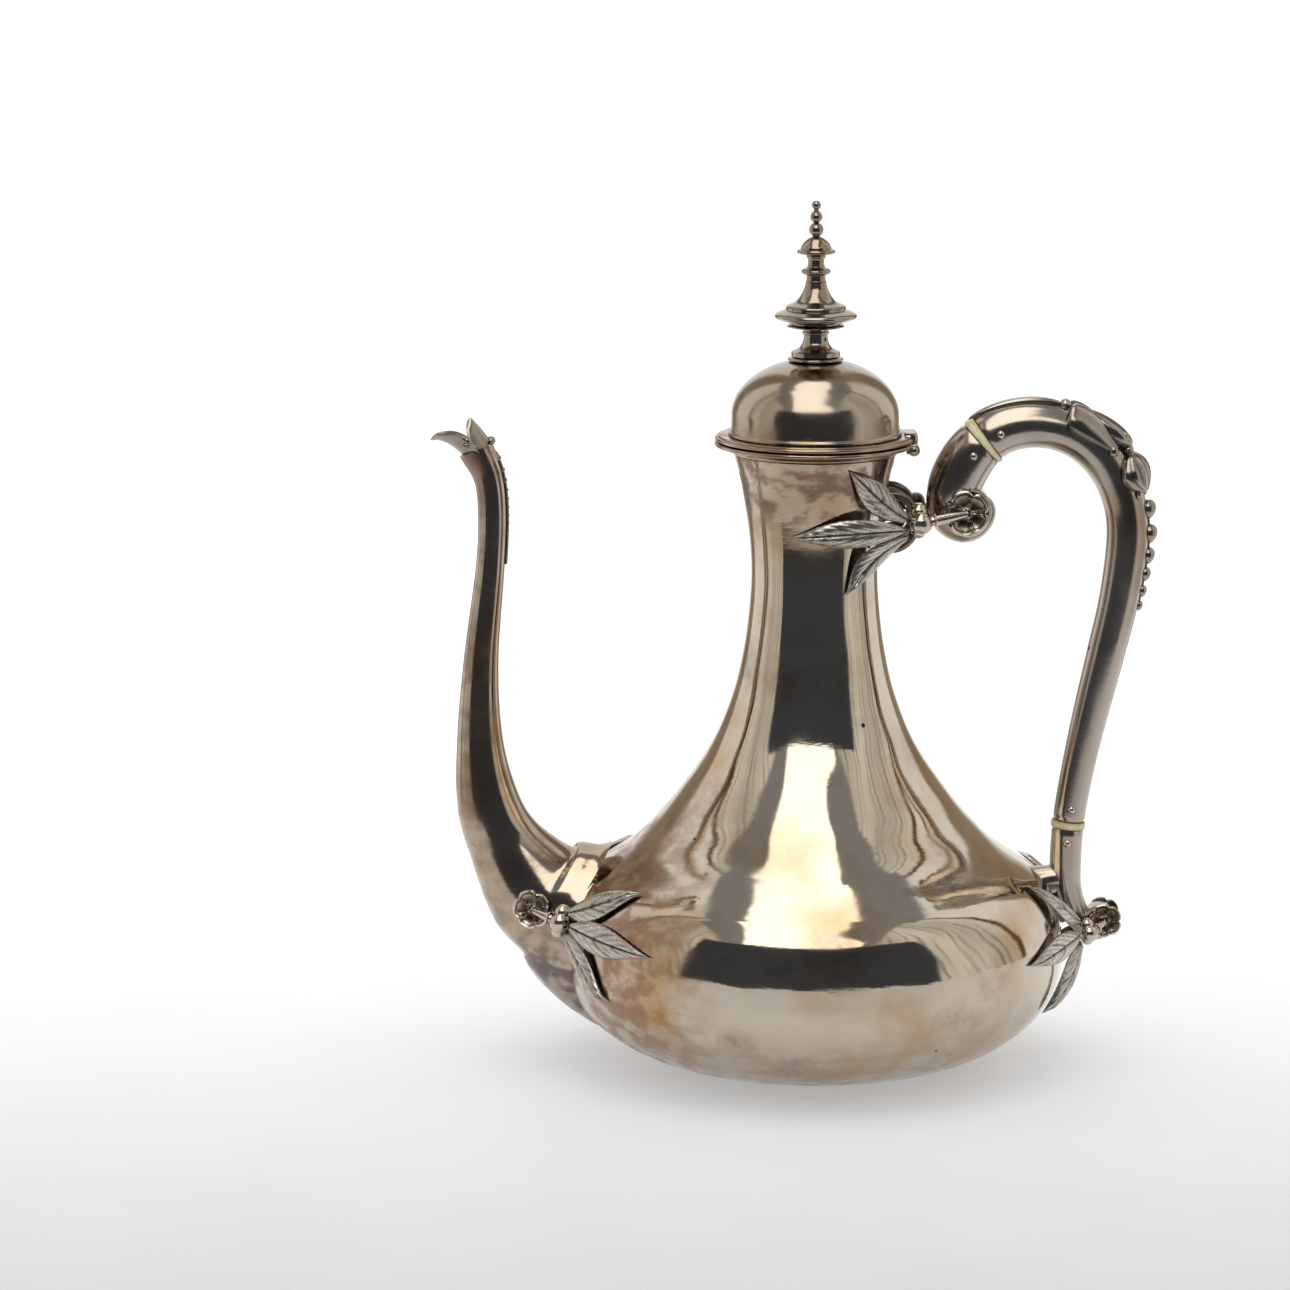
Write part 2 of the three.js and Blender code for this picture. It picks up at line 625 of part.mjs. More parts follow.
/** The reeded flange under the dome, notched round the hinge. */
function lidRim() {
  const bottom = SPLIT_HEIGHT;
  const top = DOME_BASE - GAP;
  const flange = solid(ring([
    [MOUTH_RADIUS - 1.2, bottom], [29.2, bottom], [FLANGE_RADIUS, bottom + 0.4],
    [29.4, bottom + 0.9], [28, top], [MOUTH_RADIUS - 1.2, top],
  ], BODY_SIDES));
  return flange.subtract(solid(block([HINGE_X - 2.5, -HINGE_NOTCH, 180], [40, HINGE_NOTCH, 200])));
}

/** The collar that drops into the mouth. */
function lidBezel() {
  const top = SPLIT_HEIGHT - GAP;
  const outer = MOUTH_RADIUS - 0.7;
  return ring([[outer - 0.9, top - 8], [outer, top - 8], [outer, top], [outer - 0.9, top]], 28);
}

/** The turned finial with its threaded stud. */
function finial() {
  const z = FINIAL_BASE;
  return turned([
    [0, 207.4], [1.9, 207.4], [1.9, z], [7.3, z], [7.3, z + 1.3], [5.2, z + 2.1], [3.7, z + 4.6],
    [3.6, z + 6.2], [3.9, z + 7.4], [3.6, z + 8.4], [8.6, z + 8.8], [8.4, z + 9.4], [7.2, z + 9.8],
    [11.4, z + 10.9], [12.3, z + 11.9], [11, z + 13.4], [8.8, z + 14.6], [8.6, z + 15.2], [5.2, z + 17],
    [3.3, z + 20], [2.8, z + 22.6], [2.9, z + 24], [4.3, z + 24.8], [4.3, z + 26.2], [2.4, z + 27],
    [2.4, z + 29.4], [3, z + 30.2], [5.6, z + 30.9], [5.5, z + 32.2], [3.2, z + 33.2], [1.2, z + 35.4],
    [2.2, z + 37.5], [1.3, z + 39.6], [1.8, z + 41.4], [1, z + 43.4], [1.4, z + 44.9], [0, TOTAL_HEIGHT],
  ], 16);
}

/** The thin moulded seat between the dome and the finial. */
function finialSeat() {
  const top = FINIAL_BASE - GAP;
  return ring([[2.4, 213.3], [7.4, 212.6], [8.4, 212.6], [8.3, 213.1], [7.4, top], [2.4, top]], 20);
}

/** The nut that holds the finial from inside the dome. */
function finialNut() {
  return ring([[2.2, 208.2], [4.3, 208.2], [4.3, 211.1], [2.2, 211.1]], 6);
}

// ---------------------------------------------------------------- hinge

/** The leaf soldered to the mouth rim, with a knuckle at each end. */
function bodyHingeLeaf() {
  const inside = HINGE_X - 2.2;
  const pieces = [block([inside, -HINGE_HALF, NECK_TOP + GAP + 0.1], [HINGE_X + 0.6, HINGE_HALF, HINGE_Z + 0.6])];
  for (const side of [-1, 1]) {
    const near = side * (LID_KNUCKLE + GAP);
    const far = side * HINGE_HALF;
    pieces.push(rodAlongY(HINGE_X, HINGE_Z, KNUCKLE_RADIUS, Math.min(near, far), Math.max(near, far)));
  }
  const swing = rodAlongY(HINGE_X, HINGE_Z, KNUCKLE_RADIUS + GAP, -LID_KNUCKLE - GAP, LID_KNUCKLE + GAP, 16);
  const bore = rodAlongY(HINGE_X, HINGE_Z, HINGE_PIN_RADIUS + PIN_PLAY, -REACH, REACH);
  return joined(...pieces).subtract(solid(swing)).subtract(solid(bore));
}

/** The leaf on top of the lid rim, with the middle knuckle below it. */
function lidHingeLeaf() {
  const plate = block([26.5, -4.6, DOME_BASE], [HINGE_X + 1.2, 4.6, DOME_BASE + 0.8]);
  const arm = block([HINGE_X - 0.6, -LID_KNUCKLE, HINGE_Z], [HINGE_X + KNUCKLE_RADIUS, LID_KNUCKLE, DOME_BASE + 0.4]);
  const knuckle = rodAlongY(HINGE_X, HINGE_Z, KNUCKLE_RADIUS, -LID_KNUCKLE, LID_KNUCKLE);
  const bore = rodAlongY(HINGE_X, HINGE_Z, HINGE_PIN_RADIUS + PIN_PLAY, -REACH, REACH);
  return joined(plate, arm, knuckle).subtract(solid(bore));
}

/** The pin through the three knuckles, with a low riveted head at each end. */
function hingePin() {
  const end = HINGE_HALF + GAP;
  const heads = [-1, 1].map((side) => new THREE.CylinderGeometry(
    side > 0 ? 0.8 : 1.3, side > 0 ? 1.3 : 0.8, 0.7, 10,
  ).translate(HINGE_X, side * (end + 0.35), HINGE_Z));
  return joined(rodAlongY(HINGE_X, HINGE_Z, HINGE_PIN_RADIUS, -end - 0.3, end + 0.3, 10), ...heads);
}

// ---------------------------------------------------------------- assembly

const coffeePot = new THREE.Group();
coffeePot.name = 'coffee_pot';

add(coffeePot, 'pot_body', potBody(), polishedSilver());
add(coffeePot, 'mouth_rim', mouthRim(), polishedSilver());
add(coffeePot, 'spout_tube', spoutTube(), polishedSilver());
add(coffeePot, 'spout_lip', spoutLip(), castSilver());
add(coffeePot, 'spout_calyx', spoutCalyx(), castSilver());
add(coffeePot, 'spout_bead_crest', spoutBeadCrest(), castSilver());
add(coffeePot, 'handle_upper_socket', handleUpperSocket(), polishedSilver());
add(coffeePot, 'upper_insulator', insulator(upperJoint), ivory());
add(coffeePot, 'handle_grip', handleGrip(), polishedSilver());
add(coffeePot, 'lower_insulator', insulator(lowerJoint), ivory());
add(coffeePot, 'handle_lower_socket', handleLowerSocket(), polishedSilver());
for (const [name, place] of Object.entries(PIN_PLACES)) {
  add(coffeePot, name, handlePin(place), polishedSilver());
}
add(coffeePot, 'handle_ridge', handleRidge(), castSilver());
add(coffeePot, 'handle_bud_upper', handleBud(
  handle.nearest([74.2, 191.4]), handle.nearest([87.6, 180.6]), 10, (s) => 4.6 - 1.4 * Math.abs(s - 0.5),
), castSilver());
add(coffeePot, 'handle_bud_lower', handleBud(
  handle.nearest([88, 180]), handle.nearest([92.9, 168]), 10.5, (s) => 3.4 + 1.6 * s,
), castSilver());
add(coffeePot, 'handle_bead_row', handleBeadRow(), castSilver());
addSprays(coffeePot);
add(coffeePot, 'body_hinge_leaf', bodyHingeLeaf(), polishedSilver());
add(coffeePot, 'hinge_pin', hingePin(), polishedSilver());

const lid = new THREE.Group();
lid.name = 'lid';
coffeePot.add(lid);
add(lid, 'lid_dome', lidDome(), polishedSilver());
add(lid, 'lid_rim', lidRim(), polishedSilver());
add(lid, 'lid_bezel', lidBezel(), polishedSilver());
add(lid, 'finial', finial(), polishedSilver());
add(lid, 'finial_seat', finialSeat(), polishedSilver());
add(lid, 'finial_nut', finialNut(), polishedSilver());
add(lid, 'lid_hinge_leaf', lidHingeLeaf(), polishedSilver());

export default coffeePot;
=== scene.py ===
# %% [markdown]
# # A silver coffee pot
# The pot is raised from sheet silver: a wide, low belly, a long neck, a hinged lid with a turned
# finial, a curved spout and a hollow scroll handle with two ivory rings that keep its grip cool.
# Cast sprays of leaves, berries and flowers cover its three joints.
#
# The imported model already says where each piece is. Each cell below makes one kind of piece again
# as a smooth surface, worked out by a formula, and hides the faceted solid that it stands for.

# %% Load the frame
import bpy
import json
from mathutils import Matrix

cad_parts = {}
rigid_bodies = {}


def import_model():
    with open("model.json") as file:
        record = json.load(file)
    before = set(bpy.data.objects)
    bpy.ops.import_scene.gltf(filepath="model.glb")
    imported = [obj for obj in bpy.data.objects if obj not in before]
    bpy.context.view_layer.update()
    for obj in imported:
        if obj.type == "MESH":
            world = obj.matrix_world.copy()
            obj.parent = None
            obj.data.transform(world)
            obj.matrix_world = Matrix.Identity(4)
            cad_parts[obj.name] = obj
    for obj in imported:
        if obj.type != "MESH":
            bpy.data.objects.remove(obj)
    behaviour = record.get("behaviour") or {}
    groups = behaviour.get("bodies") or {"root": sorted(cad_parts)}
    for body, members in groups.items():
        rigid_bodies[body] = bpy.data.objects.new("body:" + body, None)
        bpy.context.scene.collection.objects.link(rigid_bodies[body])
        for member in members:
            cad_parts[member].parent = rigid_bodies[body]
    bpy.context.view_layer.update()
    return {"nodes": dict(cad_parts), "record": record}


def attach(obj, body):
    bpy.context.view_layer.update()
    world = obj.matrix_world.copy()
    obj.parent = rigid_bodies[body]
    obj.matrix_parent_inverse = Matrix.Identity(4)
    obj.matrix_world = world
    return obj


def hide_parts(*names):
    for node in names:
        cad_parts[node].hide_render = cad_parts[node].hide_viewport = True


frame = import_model()

import json
import math

import bmesh
import bpy
import numpy as np

MM = 0.001

# %% [markdown]
# ## Curves
# A silversmith works to templates: an outline for the turned pieces, a bent line for the tubes. Both
# are a few chosen points with a smooth curve through them. A Catmull-Rom curve passes through every
# point, so that a point that is moved moves the metal with it, which a Bezier handle would not do.

# %% Curves through points
def spline(points, count):
    """Catmull-Rom: between two points a cubic runs whose slope at each is half the step between its neighbours."""
    points = np.asarray(points, float)
    padded = np.vstack([2 * points[0] - points[1], points, 2 * points[-1] - points[-2]])
    place = np.linspace(0, len(points) - 1, count)
    first = np.minimum(place.astype(int), len(points) - 2)
    u = (place - first)[:, None]
    a, b, c, d = (padded[first + k] for k in range(4))
    return 0.5 * (2 * b + (c - a) * u + (2 * a - 5 * b + 4 * c - d) * u**2 + (3 * b - a - 3 * c + d) * u**3)


def runs(*pieces, each=7):
    """Smooth runs laid end to end, which meet in creases, as mouldings do."""
    return np.vstack([spline(piece, each * (len(piece) - 1) + 1) for piece in pieces])


def arc(centre, radius, start, end, count=10):
    """Points of a circle in an outline, from one angle to another in degrees: centre + radius (cos, sin)."""
    angle = np.radians(np.linspace(start, end, count))
    return np.stack([centre[0] + radius * np.cos(angle), centre[1] + radius * np.sin(angle)], -1)


print("a bead's outline:", arc((0, 1), 1, -90, 90, 3).round(2).tolist())

# %% [markdown]
# ## Surfaces
# Every piece is a grid of points: rows along the piece and columns round it. Where a row shrinks to
# one point its corners are merged, which closes the pole, and a piece whose volume comes out negative
# is turned the right way round. A subdivision surface would need a cage for every moulding. The grid
# needs only the formula.

# %% From a grid to a closed piece
def quads_of(rows, columns, wrap_rows):
    """Each grid point is joined to the next in its row and in its column; columns always close round."""
    i = np.arange(rows if wrap_rows else rows - 1)[:, None]
    j = np.arange(columns)[None, :]
    down, right = (i + 1) % rows, (j + 1) % columns
    corners = [i * columns + j, i * columns + right, down * columns + right, down * columns + j]
    return np.stack(corners, -1).reshape(-1, 4)


def volume_of(points, quads):
    """The sum of the signed cones from the origin to each half of each quad."""
    a, b, c, d = (points[quads[:, k]] for k in range(4))
    return (np.einsum("ij,ij->i", a, np.cross(b, c)) + np.einsum("ij,ij->i", a, np.cross(c, d))).sum() / 6


def closed(grid, wrap_rows=False, dark=None):
    """A grid (rows, columns, 3) as points, outward quads and a darkness at each point."""
    points = grid.reshape(-1, 3)
    quads = quads_of(grid.shape[0], grid.shape[1], wrap_rows)
    if volume_of(points, quads) < 0:
        quads = quads[:, ::-1]
    shade = np.zeros(len(points)) if dark is None else np.broadcast_to(dark, grid.shape[:2]).ravel()
    return points, quads, shade


def capped(grid):
    """Closes a tube whose first and last rows are drawn into the middle of each end."""
    grid[0], grid[-1] = grid[0].mean(0), grid[-1].mean(0)
    return closed(grid)


def mirrored(part):
    """The same part on the other side of the pot: y changes sign and the faces are turned back."""
    points, quads, shade = part
    return points * [1, -1, 1], quads[:, ::-1], shade


BODY_OF = {name: body for body, names in frame["record"]["behaviour"]["bodies"].items() for name in names}


def piece(node, parts, material, crease=38):
    """Joins closed parts into one mesh in metres that stands for a node of the frame."""
    starts = np.cumsum([0] + [len(points) for points, _, _ in parts])
    points = np.vstack([points for points, _, _ in parts]) * MM
    quads = np.vstack([quads + start for (_, quads, _), start in zip(parts, starts)])
    mesh = bpy.data.meshes.new(node + "_" + material.name.split("_")[-1])
    mesh.vertices.add(len(points))
    mesh.vertices.foreach_set("co", points.ravel())
    mesh.loops.add(quads.size)
    mesh.loops.foreach_set("vertex_index", quads.ravel().astype(np.int32))
    mesh.polygons.add(len(quads))
    mesh.polygons.foreach_set("loop_start", np.arange(0, quads.size, 4, dtype=np.int32))
    mesh.update(calc_edges=True)
    tone = mesh.attributes.new("oxide", "FLOAT", "POINT")
    tone.data.foreach_set("value", np.concatenate([shade for _, _, shade in parts]).astype(np.float32))
    shape = bmesh.new()
    shape.from_mesh(mesh)
    bmesh.ops.remove_doubles(shape, verts=shape.verts, dist=0.002 * MM)
    shape.to_mesh(mesh)
    shape.free()
    mesh.polygons.foreach_set("use_smooth", np.ones(len(mesh.polygons), bool))
    mesh.set_sharp_from_angle(angle=math.radians(crease))
    mesh.materials.append(material)
    made = bpy.data.objects.new(mesh.name, mesh)
    bpy.context.scene.collection.objects.link(made)
    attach(made, BODY_OF[node])
    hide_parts(node)
    return made


# %% [markdown]
# ## Shapes that the pieces share
# Three moves make nearly all of the pot: turning an outline on the lathe, drawing a tube along a bent
# line, and spinning a small outline about a short axis, as for a pin or a berry's stem.

# %% Turned, drawn and spun shapes
def turned(outline, columns=128):
    """An outline of (radius, height) turned about Z: x = r cos a, y = r sin a, z = h."""
    angle = np.linspace(0, 2 * np.pi, columns, endpoint=False)
    radius, height = np.asarray(outline, float).T
    return np.stack([np.outer(radius, np.cos(angle)), np.outer(radius, np.sin(angle)),
                     np.outer(height, np.ones(columns))], -1)


def limb(stations, fine=1600):
    """A bent line in the XZ plane: distance, x, z, outward x, outward z, half height and half width along it."""
    stations = [list(row) if len(row) == 4 else [*row, row[2]] for row in stations]
    x, z, high, wide = spline(stations, fine).T
    distance = np.concatenate([[0], np.cumsum(np.hypot(np.diff(x), np.diff(z)))])
    along_x, along_z = np.gradient(x, distance), np.gradient(z, distance)
    size = np.hypot(along_x, along_z)
    return np.stack([distance, x, z, -along_z / size, along_x / size, high, wide])


def at(line, distance):
    """x, z, outward x, outward z, half height and half width at each distance."""
    return [np.interp(distance, line[0], row) for row in line[1:]]


def nearest(line, x, z):
    """The distance along a limb at which it passes closest to a point."""
    return line[0][np.argmin(np.hypot(line[1] - x, line[2] - z))]


def drawn(line, rows, columns=40, swell=None):
    """
    A tube along a limb. Each row is (distance, growth): the point at angle a is the centre, plus
    (half height + growth) cos a outward, plus (half width + growth) sin a across.
    """
    distance, growth = np.asarray(rows, float).T
    x, z, out_x, out_z, high, wide = (row[:, None] for row in at(line, distance))
    angle = np.linspace(0, 2 * np.pi, columns, endpoint=False)[None, :]
    growth = growth[:, None] + (0 if swell is None else swell(distance[:, None], angle))
    outward = (high + growth) * np.cos(angle)
    return np.stack([x + out_x * outward, (wide + growth) * np.sin(angle), z + out_z * outward], -1)


def spun(start, toward, outline, columns=24):
    """Circles about the line from one point toward another: outline holds (distance, radius)."""
    start, toward = np.asarray(start, float), np.asarray(toward, float)
    axis = (toward - start) / np.linalg.norm(toward - start)
    across = np.cross(axis, [0.0, 0.0, 1.0] if abs(axis[2]) < 0.9 else [1.0, 0.0, 0.0])
    across /= np.linalg.norm(across)
    distance, radius = np.asarray(outline, float).T
    angle = np.linspace(0, 2 * np.pi, columns, endpoint=False)[:, None]
    circle = np.cos(angle) * across + np.sin(angle) * np.cross(axis, across)
    return (start + distance[:, None] * axis)[:, None, :] + radius[:, None, None] * circle


def ball(centre, radius, squash=(1, 1, 1), rows=14, columns=24):
    """A sphere by latitude and longitude, stretched along the axes."""
    tilt, angle = np.meshgrid(np.linspace(-np.pi / 2, np.pi / 2, rows), np.linspace(0, 2 * np.pi, columns, False),
                              indexing="ij")
    unit = np.stack([np.cos(tilt) * np.cos(angle), np.cos(tilt) * np.sin(angle), np.sin(tilt)], -1)
    return np.asarray(centre, float) + unit * radius * np.asarray(squash, float)


def slab(low, high, power=0.25):
    """A soft-edged block: the sine and cosine of a sphere's formula are raised to a small power."""
    low, high = np.asarray(low, float), np.asarray(high, float)
    unit = ball((0, 0, 0), 1, rows=25, columns=48)
    level = np.sqrt(np.maximum(1 - unit[..., 2:] ** 2, 1e-12))
    flat = np.sign(unit[..., :2]) * np.abs(unit[..., :2] / level) ** power * level**power
    top = np.sign(unit[..., 2:]) * np.abs(unit[..., 2:]) ** power
    return (low + high) / 2 + np.concatenate([flat, top], -1) * (high - low) / 2


print("a ball of 3 mm has", len(closed(ball((0, 0, 0), 3))[1]), "faces")

# %% [markdown]
# ## Polished sterling silver
# Sterling is 92.5 parts silver. After planishing it is polished with rouge to a mirror, and then air
# and fingers tarnish it: first a straw yellow, then brown and violet, thickest where a cloth cannot
# reach. The eye sees sharp reflections that are a little warm, slightly wavy from the hammer, and
# clouded in patches. So the colour is a clean silver with three clouds of tarnish, the roughness goes
# up where the tarnish lies, and two bumps carry the hammer's waves and the fine scratches.

# %% Nodes and colours
def linear(code):
    """An sRGB hex colour as linear light: ((c + 0.055) / 1.055) to the power 2.4, or c / 12.92 when dark."""
    channels = [int(code[k:k + 2], 16) / 255 for k in (1, 3, 5)]
    return (*[((c + 0.055) / 1.055) ** 2.4 if c > 0.04045 else c / 12.92 for c in channels], 1.0)


def add(tree, kind, links=None, **settings):
    """Adds one node, sets its properties, and gives each input a value or another node's output."""
    made = tree.nodes.new("ShaderNode" + kind)
    for key, value in settings.items():
        setattr(made, key, value)
    for socket, value in (links or {}).items():
        if isinstance(value, bpy.types.NodeSocket):
            tree.links.new(value, made.inputs[socket])
        else:
            made.inputs[socket].default_value = value
    return made.outputs[0] if made.outputs else None


def cloud(tree, where, size_mm, detail=4.0, low=0.45, high=0.6, shift=(0, 0, 0), stretch=(1, 1, 1)):
    """Noise with features of a real size in millimetres, turned into a mask from 0 to 1."""
    moved = add(tree, "Mapping", {"Vector": where, "Location": shift, "Scale": stretch})
    noise = add(tree, "TexNoise", {"Vector": moved, "Scale": 1 / (size_mm * MM), "Detail": detail})
    return add(tree, "MapRange", {"Value": noise, "From Min": low, "From Max": high})


def layer(tree, mask, under, over):
    """One colour over another where a mask is 1."""
    made = tree.nodes.new("ShaderNodeMix")
    made.data_type = "RGBA"
    for socket, value in ((made.inputs["Factor"], mask), (made.inputs[6], under), (made.inputs[7], over)):
        if isinstance(value, bpy.types.NodeSocket):
            tree.links.new(value, socket)
        else:
            socket.default_value = value
    return made.outputs[2]


def times(tree, first, second):
    """One value times another, kept from 0 to 1."""
    return add(tree, "Math", {0: first, 1: second}, operation="MULTIPLY", use_clamp=True)


def plus(tree, first, second):
    """One value plus another, kept from 0 to 1."""
    return add(tree, "Math", {0: first, 1: second}, operation="ADD", use_clamp=True)


def start_material(name):
    """An empty material with its tree and Object coordinates."""
    material = bpy.data.materials.new(name)
    material.use_nodes = True
    tree = material.node_tree
    tree.nodes.clear()
    coordinates = tree.nodes.new("ShaderNodeTexCoord")
    return material, tree, coordinates.outputs["Object"]


def finish_material(tree, links, metallic):
    """The shader and the output; a metal keeps the default IOR."""
    shader = add(tree, "BsdfPrincipled", {**links, "Metallic": metallic})
    add(tree, "OutputMaterial", {"Surface": shader})


print("clean silver in linear light:", [round(c, 3) for c in linear("#D6CEC4")])

# %% Polished silver
def zone(tree, where, axis, full, none):
    """A mask along one axis in millimetres: 1 at `full`, fading to 0 at `none`."""
    split = tree.nodes.new("ShaderNodeSeparateXYZ")
    tree.links.new(where, split.inputs[0])
    return add(tree, "MapRange", {"Value": split.outputs[axis], "From Min": none * MM, "From Max": full * MM})


def polished_silver(name, clean, straw, violet, amount, roughness, stain_shift=(0, 0, 0), waves=1.0, zones=()):
    """Mirror-polished sterling with clouds of tarnish, smudges, pits and hammer waves. Zones tarnish more."""
    material, tree, where = start_material(name)
    patches = cloud(tree, where, 34, 5, 0.62 - 0.14 * amount, 0.74, stain_shift)
    bruises = cloud(tree, where, 26, 6, 0.66 - 0.14 * amount, 0.78, (0.31, 0.17, 0.05))
    mottle = cloud(tree, where, 2.4, 3, 0.42, 0.62)
    smudges = cloud(tree, where, 11, 7, 0.4, 0.7, (0.1, 0.4, 0.2))
    colour = layer(tree, times(tree, smudges, 0.22), linear(clean), linear("#A79C8E"))
    colour = layer(tree, times(tree, patches, 0.75), colour, linear(straw))
    edge = times(tree, bruises, plus(tree, times(tree, mottle, 0.4), 0.55))
    colour = layer(tree, edge, colour, linear(violet))
    rubbed = cloud(tree, where, 8, 8, 0.43, 0.58, (0.5, 0.2, 0.9), (1, 1, 1.6))
    worn = 0.0
    for axis, full, none, tint, share in zones:
        deep = times(tree, zone(tree, where, axis, full, none),
                    plus(tree, times(tree, rubbed, share), 0.1))
        colour = layer(tree, deep, colour, linear(tint))
        worn = plus(tree, worn, deep)
    grain = add(tree, "TexVoronoi", {"Vector": where, "Scale": 1 / (17 * MM)})
    pits = add(tree, "MapRange", {"Value": grain, "From Min": 0.05, "From Max": 0.035})
    colour = layer(tree, pits, colour, linear("#3A2C22"))
    dull = plus(tree, times(tree, smudges, 0.07), times(tree, edge, 0.14))
    dull = plus(tree, dull, times(tree, worn, 0.22))
    rough = plus(tree, dull, roughness)
    hammer = add(tree, "TexNoise", {"Vector": where, "Scale": 1 / (21 * MM), "Detail": 1.0})
    lines = add(tree, "Mapping", {"Vector": where, "Scale": (1, 1, 3)})
    scratches = add(tree, "TexNoise", {"Vector": lines, "Scale": 1 / (3.5 * MM), "Detail": 1.5})
    broad = add(tree, "Bump", {"Height": hammer, "Strength": 0.5 * waves, "Distance": 1.2 * MM})
    normal = add(tree, "Bump", {"Height": scratches, "Strength": 0.035, "Distance": 0.4 * MM, "Normal": broad})
    finish_material(tree, {"Base Color": colour, "Roughness": rough, "Normal": normal}, 1.0)
    return material


BODY_SILVER = polished_silver(
    "body_silver", "#CBC0B0", "#B0864A", "#8C6F62", 0.75, 0.05, waves=0.8,
    zones=[(2, 172, 163, "#6A4F45", 0.8), (2, 182, 150, "#937C6C", 0.5), (0, -54, -27, "#8C5F46", 0.62),
           (2, 2, 26, "#A98F74", 0.6)])
LID_SILVER = polished_silver(
    "lid_silver", "#AC9F90", "#A57B46", "#7B6556", 0.9, 0.1, (0.2, 0.5, 0.3), 0.6,
    zones=[(2, 190, 198, "#8A6238", 0.6), (2, 186, 184, "#B7AA9B", 0.2)])
FINIAL_SILVER = polished_silver("finial_silver", "#A79D90", "#8B7458", "#6B5D54", 0.8, 0.12, (0.6, 0.1, 0.7), 0.3)
SPOUT_SILVER = polished_silver(
    "spout_silver", "#B9AB9B", "#A5834F", "#6F5D56", 0.9, 0.08, (0.4, 0.1, 0.2), 0.5,
    zones=[(2, 30, 56, "#554C52", 0.7), (0, -100, -92, "#7C5F50", 0.4), (2, 186, 172, "#7E5B4C", 0.45)])
TUBE_SILVER = polished_silver("tube_silver", "#B3A89D", "#8A7359", "#75676A", 0.6, 0.17, (0.6, 0.1, 0.7), 0.5)
print("polished silver:", BODY_SILVER.name, LID_SILVER.name, FINIAL_SILVER.name, SPOUT_SILVER.name, TUBE_SILVER.name)

# %% [markdown]
# ## Cast and oxidised silver
# The leaves, buds and flowers are cast, chased, and darkened with liver of sulphur. Rubbing brings
# the high places back to bright silver and leaves the veins and hollows nearly black. Each surface
# below carries its own darkness from the same formula that cuts its veins, so that the dark lies
# exactly in the grooves. The same darkness also carries painted shade: on the rims, undersides and roots
# of the leaves, the undersides of the flowers, the backs of the berries, the loop behind them and the pin heads.

# %% Cast silver and ivory
def cast_silver(name, high, low, roughness):
    """Bright silver on the high places, sulphide in the grooves and painted shade where a part carries it, with the
    casting's fine grain.
    """
    material, tree, where = start_material(name)
    # The attribute read here holds both sulphide in the grooves and painted shade on the sides toward the body.
    deep = tree.nodes.new("ShaderNodeAttribute")
    deep.attribute_name = "oxide"
    blotches = cloud(tree, where, 3.2, 5, 0.35, 0.75)
    mask = plus(tree, times(tree, deep.outputs["Fac"], 0.95), times(tree, blotches, 0.22))
    colour = layer(tree, mask, linear(high), linear(low))
    rough = plus(tree, times(tree, mask, 0.25), roughness)
    grain = add(tree, "TexNoise", {"Vector": where, "Scale": 1 / (0.5 * MM), "Detail": 5.0})
    normal = add(tree, "Bump", {"Height": grain, "Strength": 0.3, "Distance": 0.12 * MM})
    finish_material(tree, {"Base Color": colour, "Roughness": rough, "Normal": normal}, 1.0)
    return material


def ivory():
    """Turned ivory or bone: pale, a little yellow, with fine growth lines 0.6 mm apart and darker seams."""
    material, tree, where = start_material("old_ivory")
    lines = add(tree, "TexWave", {"Vector": where, "Scale": 1 / (0.6 * MM) / 6.3, "Distortion": 5.0})
    stains = cloud(tree, where, 3, 4, 0.4, 0.75)
    deep = tree.nodes.new("ShaderNodeAttribute")
    deep.attribute_name = "oxide"
    colour = layer(tree, times(tree, lines, 0.25), linear("#D9D2AA"), linear("#BFB588"))
    colour = layer(tree, times(tree, stains, 0.5), colour, linear("#A8965F"))
    colour = layer(tree, deep.outputs["Fac"], colour, linear("#5E5136"))
    normal = add(tree, "Bump", {"Height": lines, "Strength": 0.1, "Distance": 0.05 * MM})
    rough = plus(tree, times(tree, stains, 0.2), 0.32)
    finish_material(tree, {"Base Color": colour, "Roughness": rough, "Normal": normal}, 0.0)
    return material


LEAF_SILVER = cast_silver("leaf_silver", "#D2CAC0", "#3F3731", 0.24)
BERRY_SILVER = cast_silver("berry_silver", "#D2C6B8", "#4A3A2E", 0.12)
CREST_SILVER = cast_silver("crest_silver", "#A79D93", "#3C332D", 0.14)
IVORY = ivory()
print("cast silver:", LEAF_SILVER.name, BERRY_SILVER.name, "and", IVORY.name)

# %% [markdown]
# ## The body
# The body is one sheet, raised over stakes from a flat disc. Below the belly its outline is a quarter
# of an ellipse; above it a long double curve runs up to the neck's flare. The wall is 1 mm thick, so
# the outline goes up the outside and comes down the inside, and the turned piece is a true vessel.

# %% Body
WALL = 1.0
BASE_RADIUS, BELLY_RADIUS, BELLY_HEIGHT, NECK_TOP = 30.0, 75.6, 32.0, 184.6
SHOULDER = [(32, 75.6), (41, 75.1), (49, 73.2), (55, 69.4), (59.5, 63.6), (65.7, 54.8), (72, 48.5),
            (80.5, 41.3), (95.3, 31.2), (110, 24.9), (124.7, 21.3), (139.4, 19.4), (152, 19.0), (165, 20.2),
            (176, 22.1), (NECK_TOP, 24.3)]


def body_outline():
    """(radius, height) from the edge of the base to the neck's top."""
    angle = np.linspace(0, np.pi / 2, 40)[:-1]
    below = np.stack([BASE_RADIUS + (BELLY_RADIUS - BASE_RADIUS) * np.sin(angle),
                      BELLY_HEIGHT * (1 - np.cos(angle))], -1)
    return np.vstack([below, spline(SHOULDER, 150)[:, ::-1]])


def moved_out(outline, distance):
    """The outline moved along its own normal."""
    slope = np.gradient(outline, axis=0)
    slope /= np.linalg.norm(slope, axis=1)[:, None]
    return outline + distance * np.stack([slope[:, 1], -slope[:, 0]], -1)


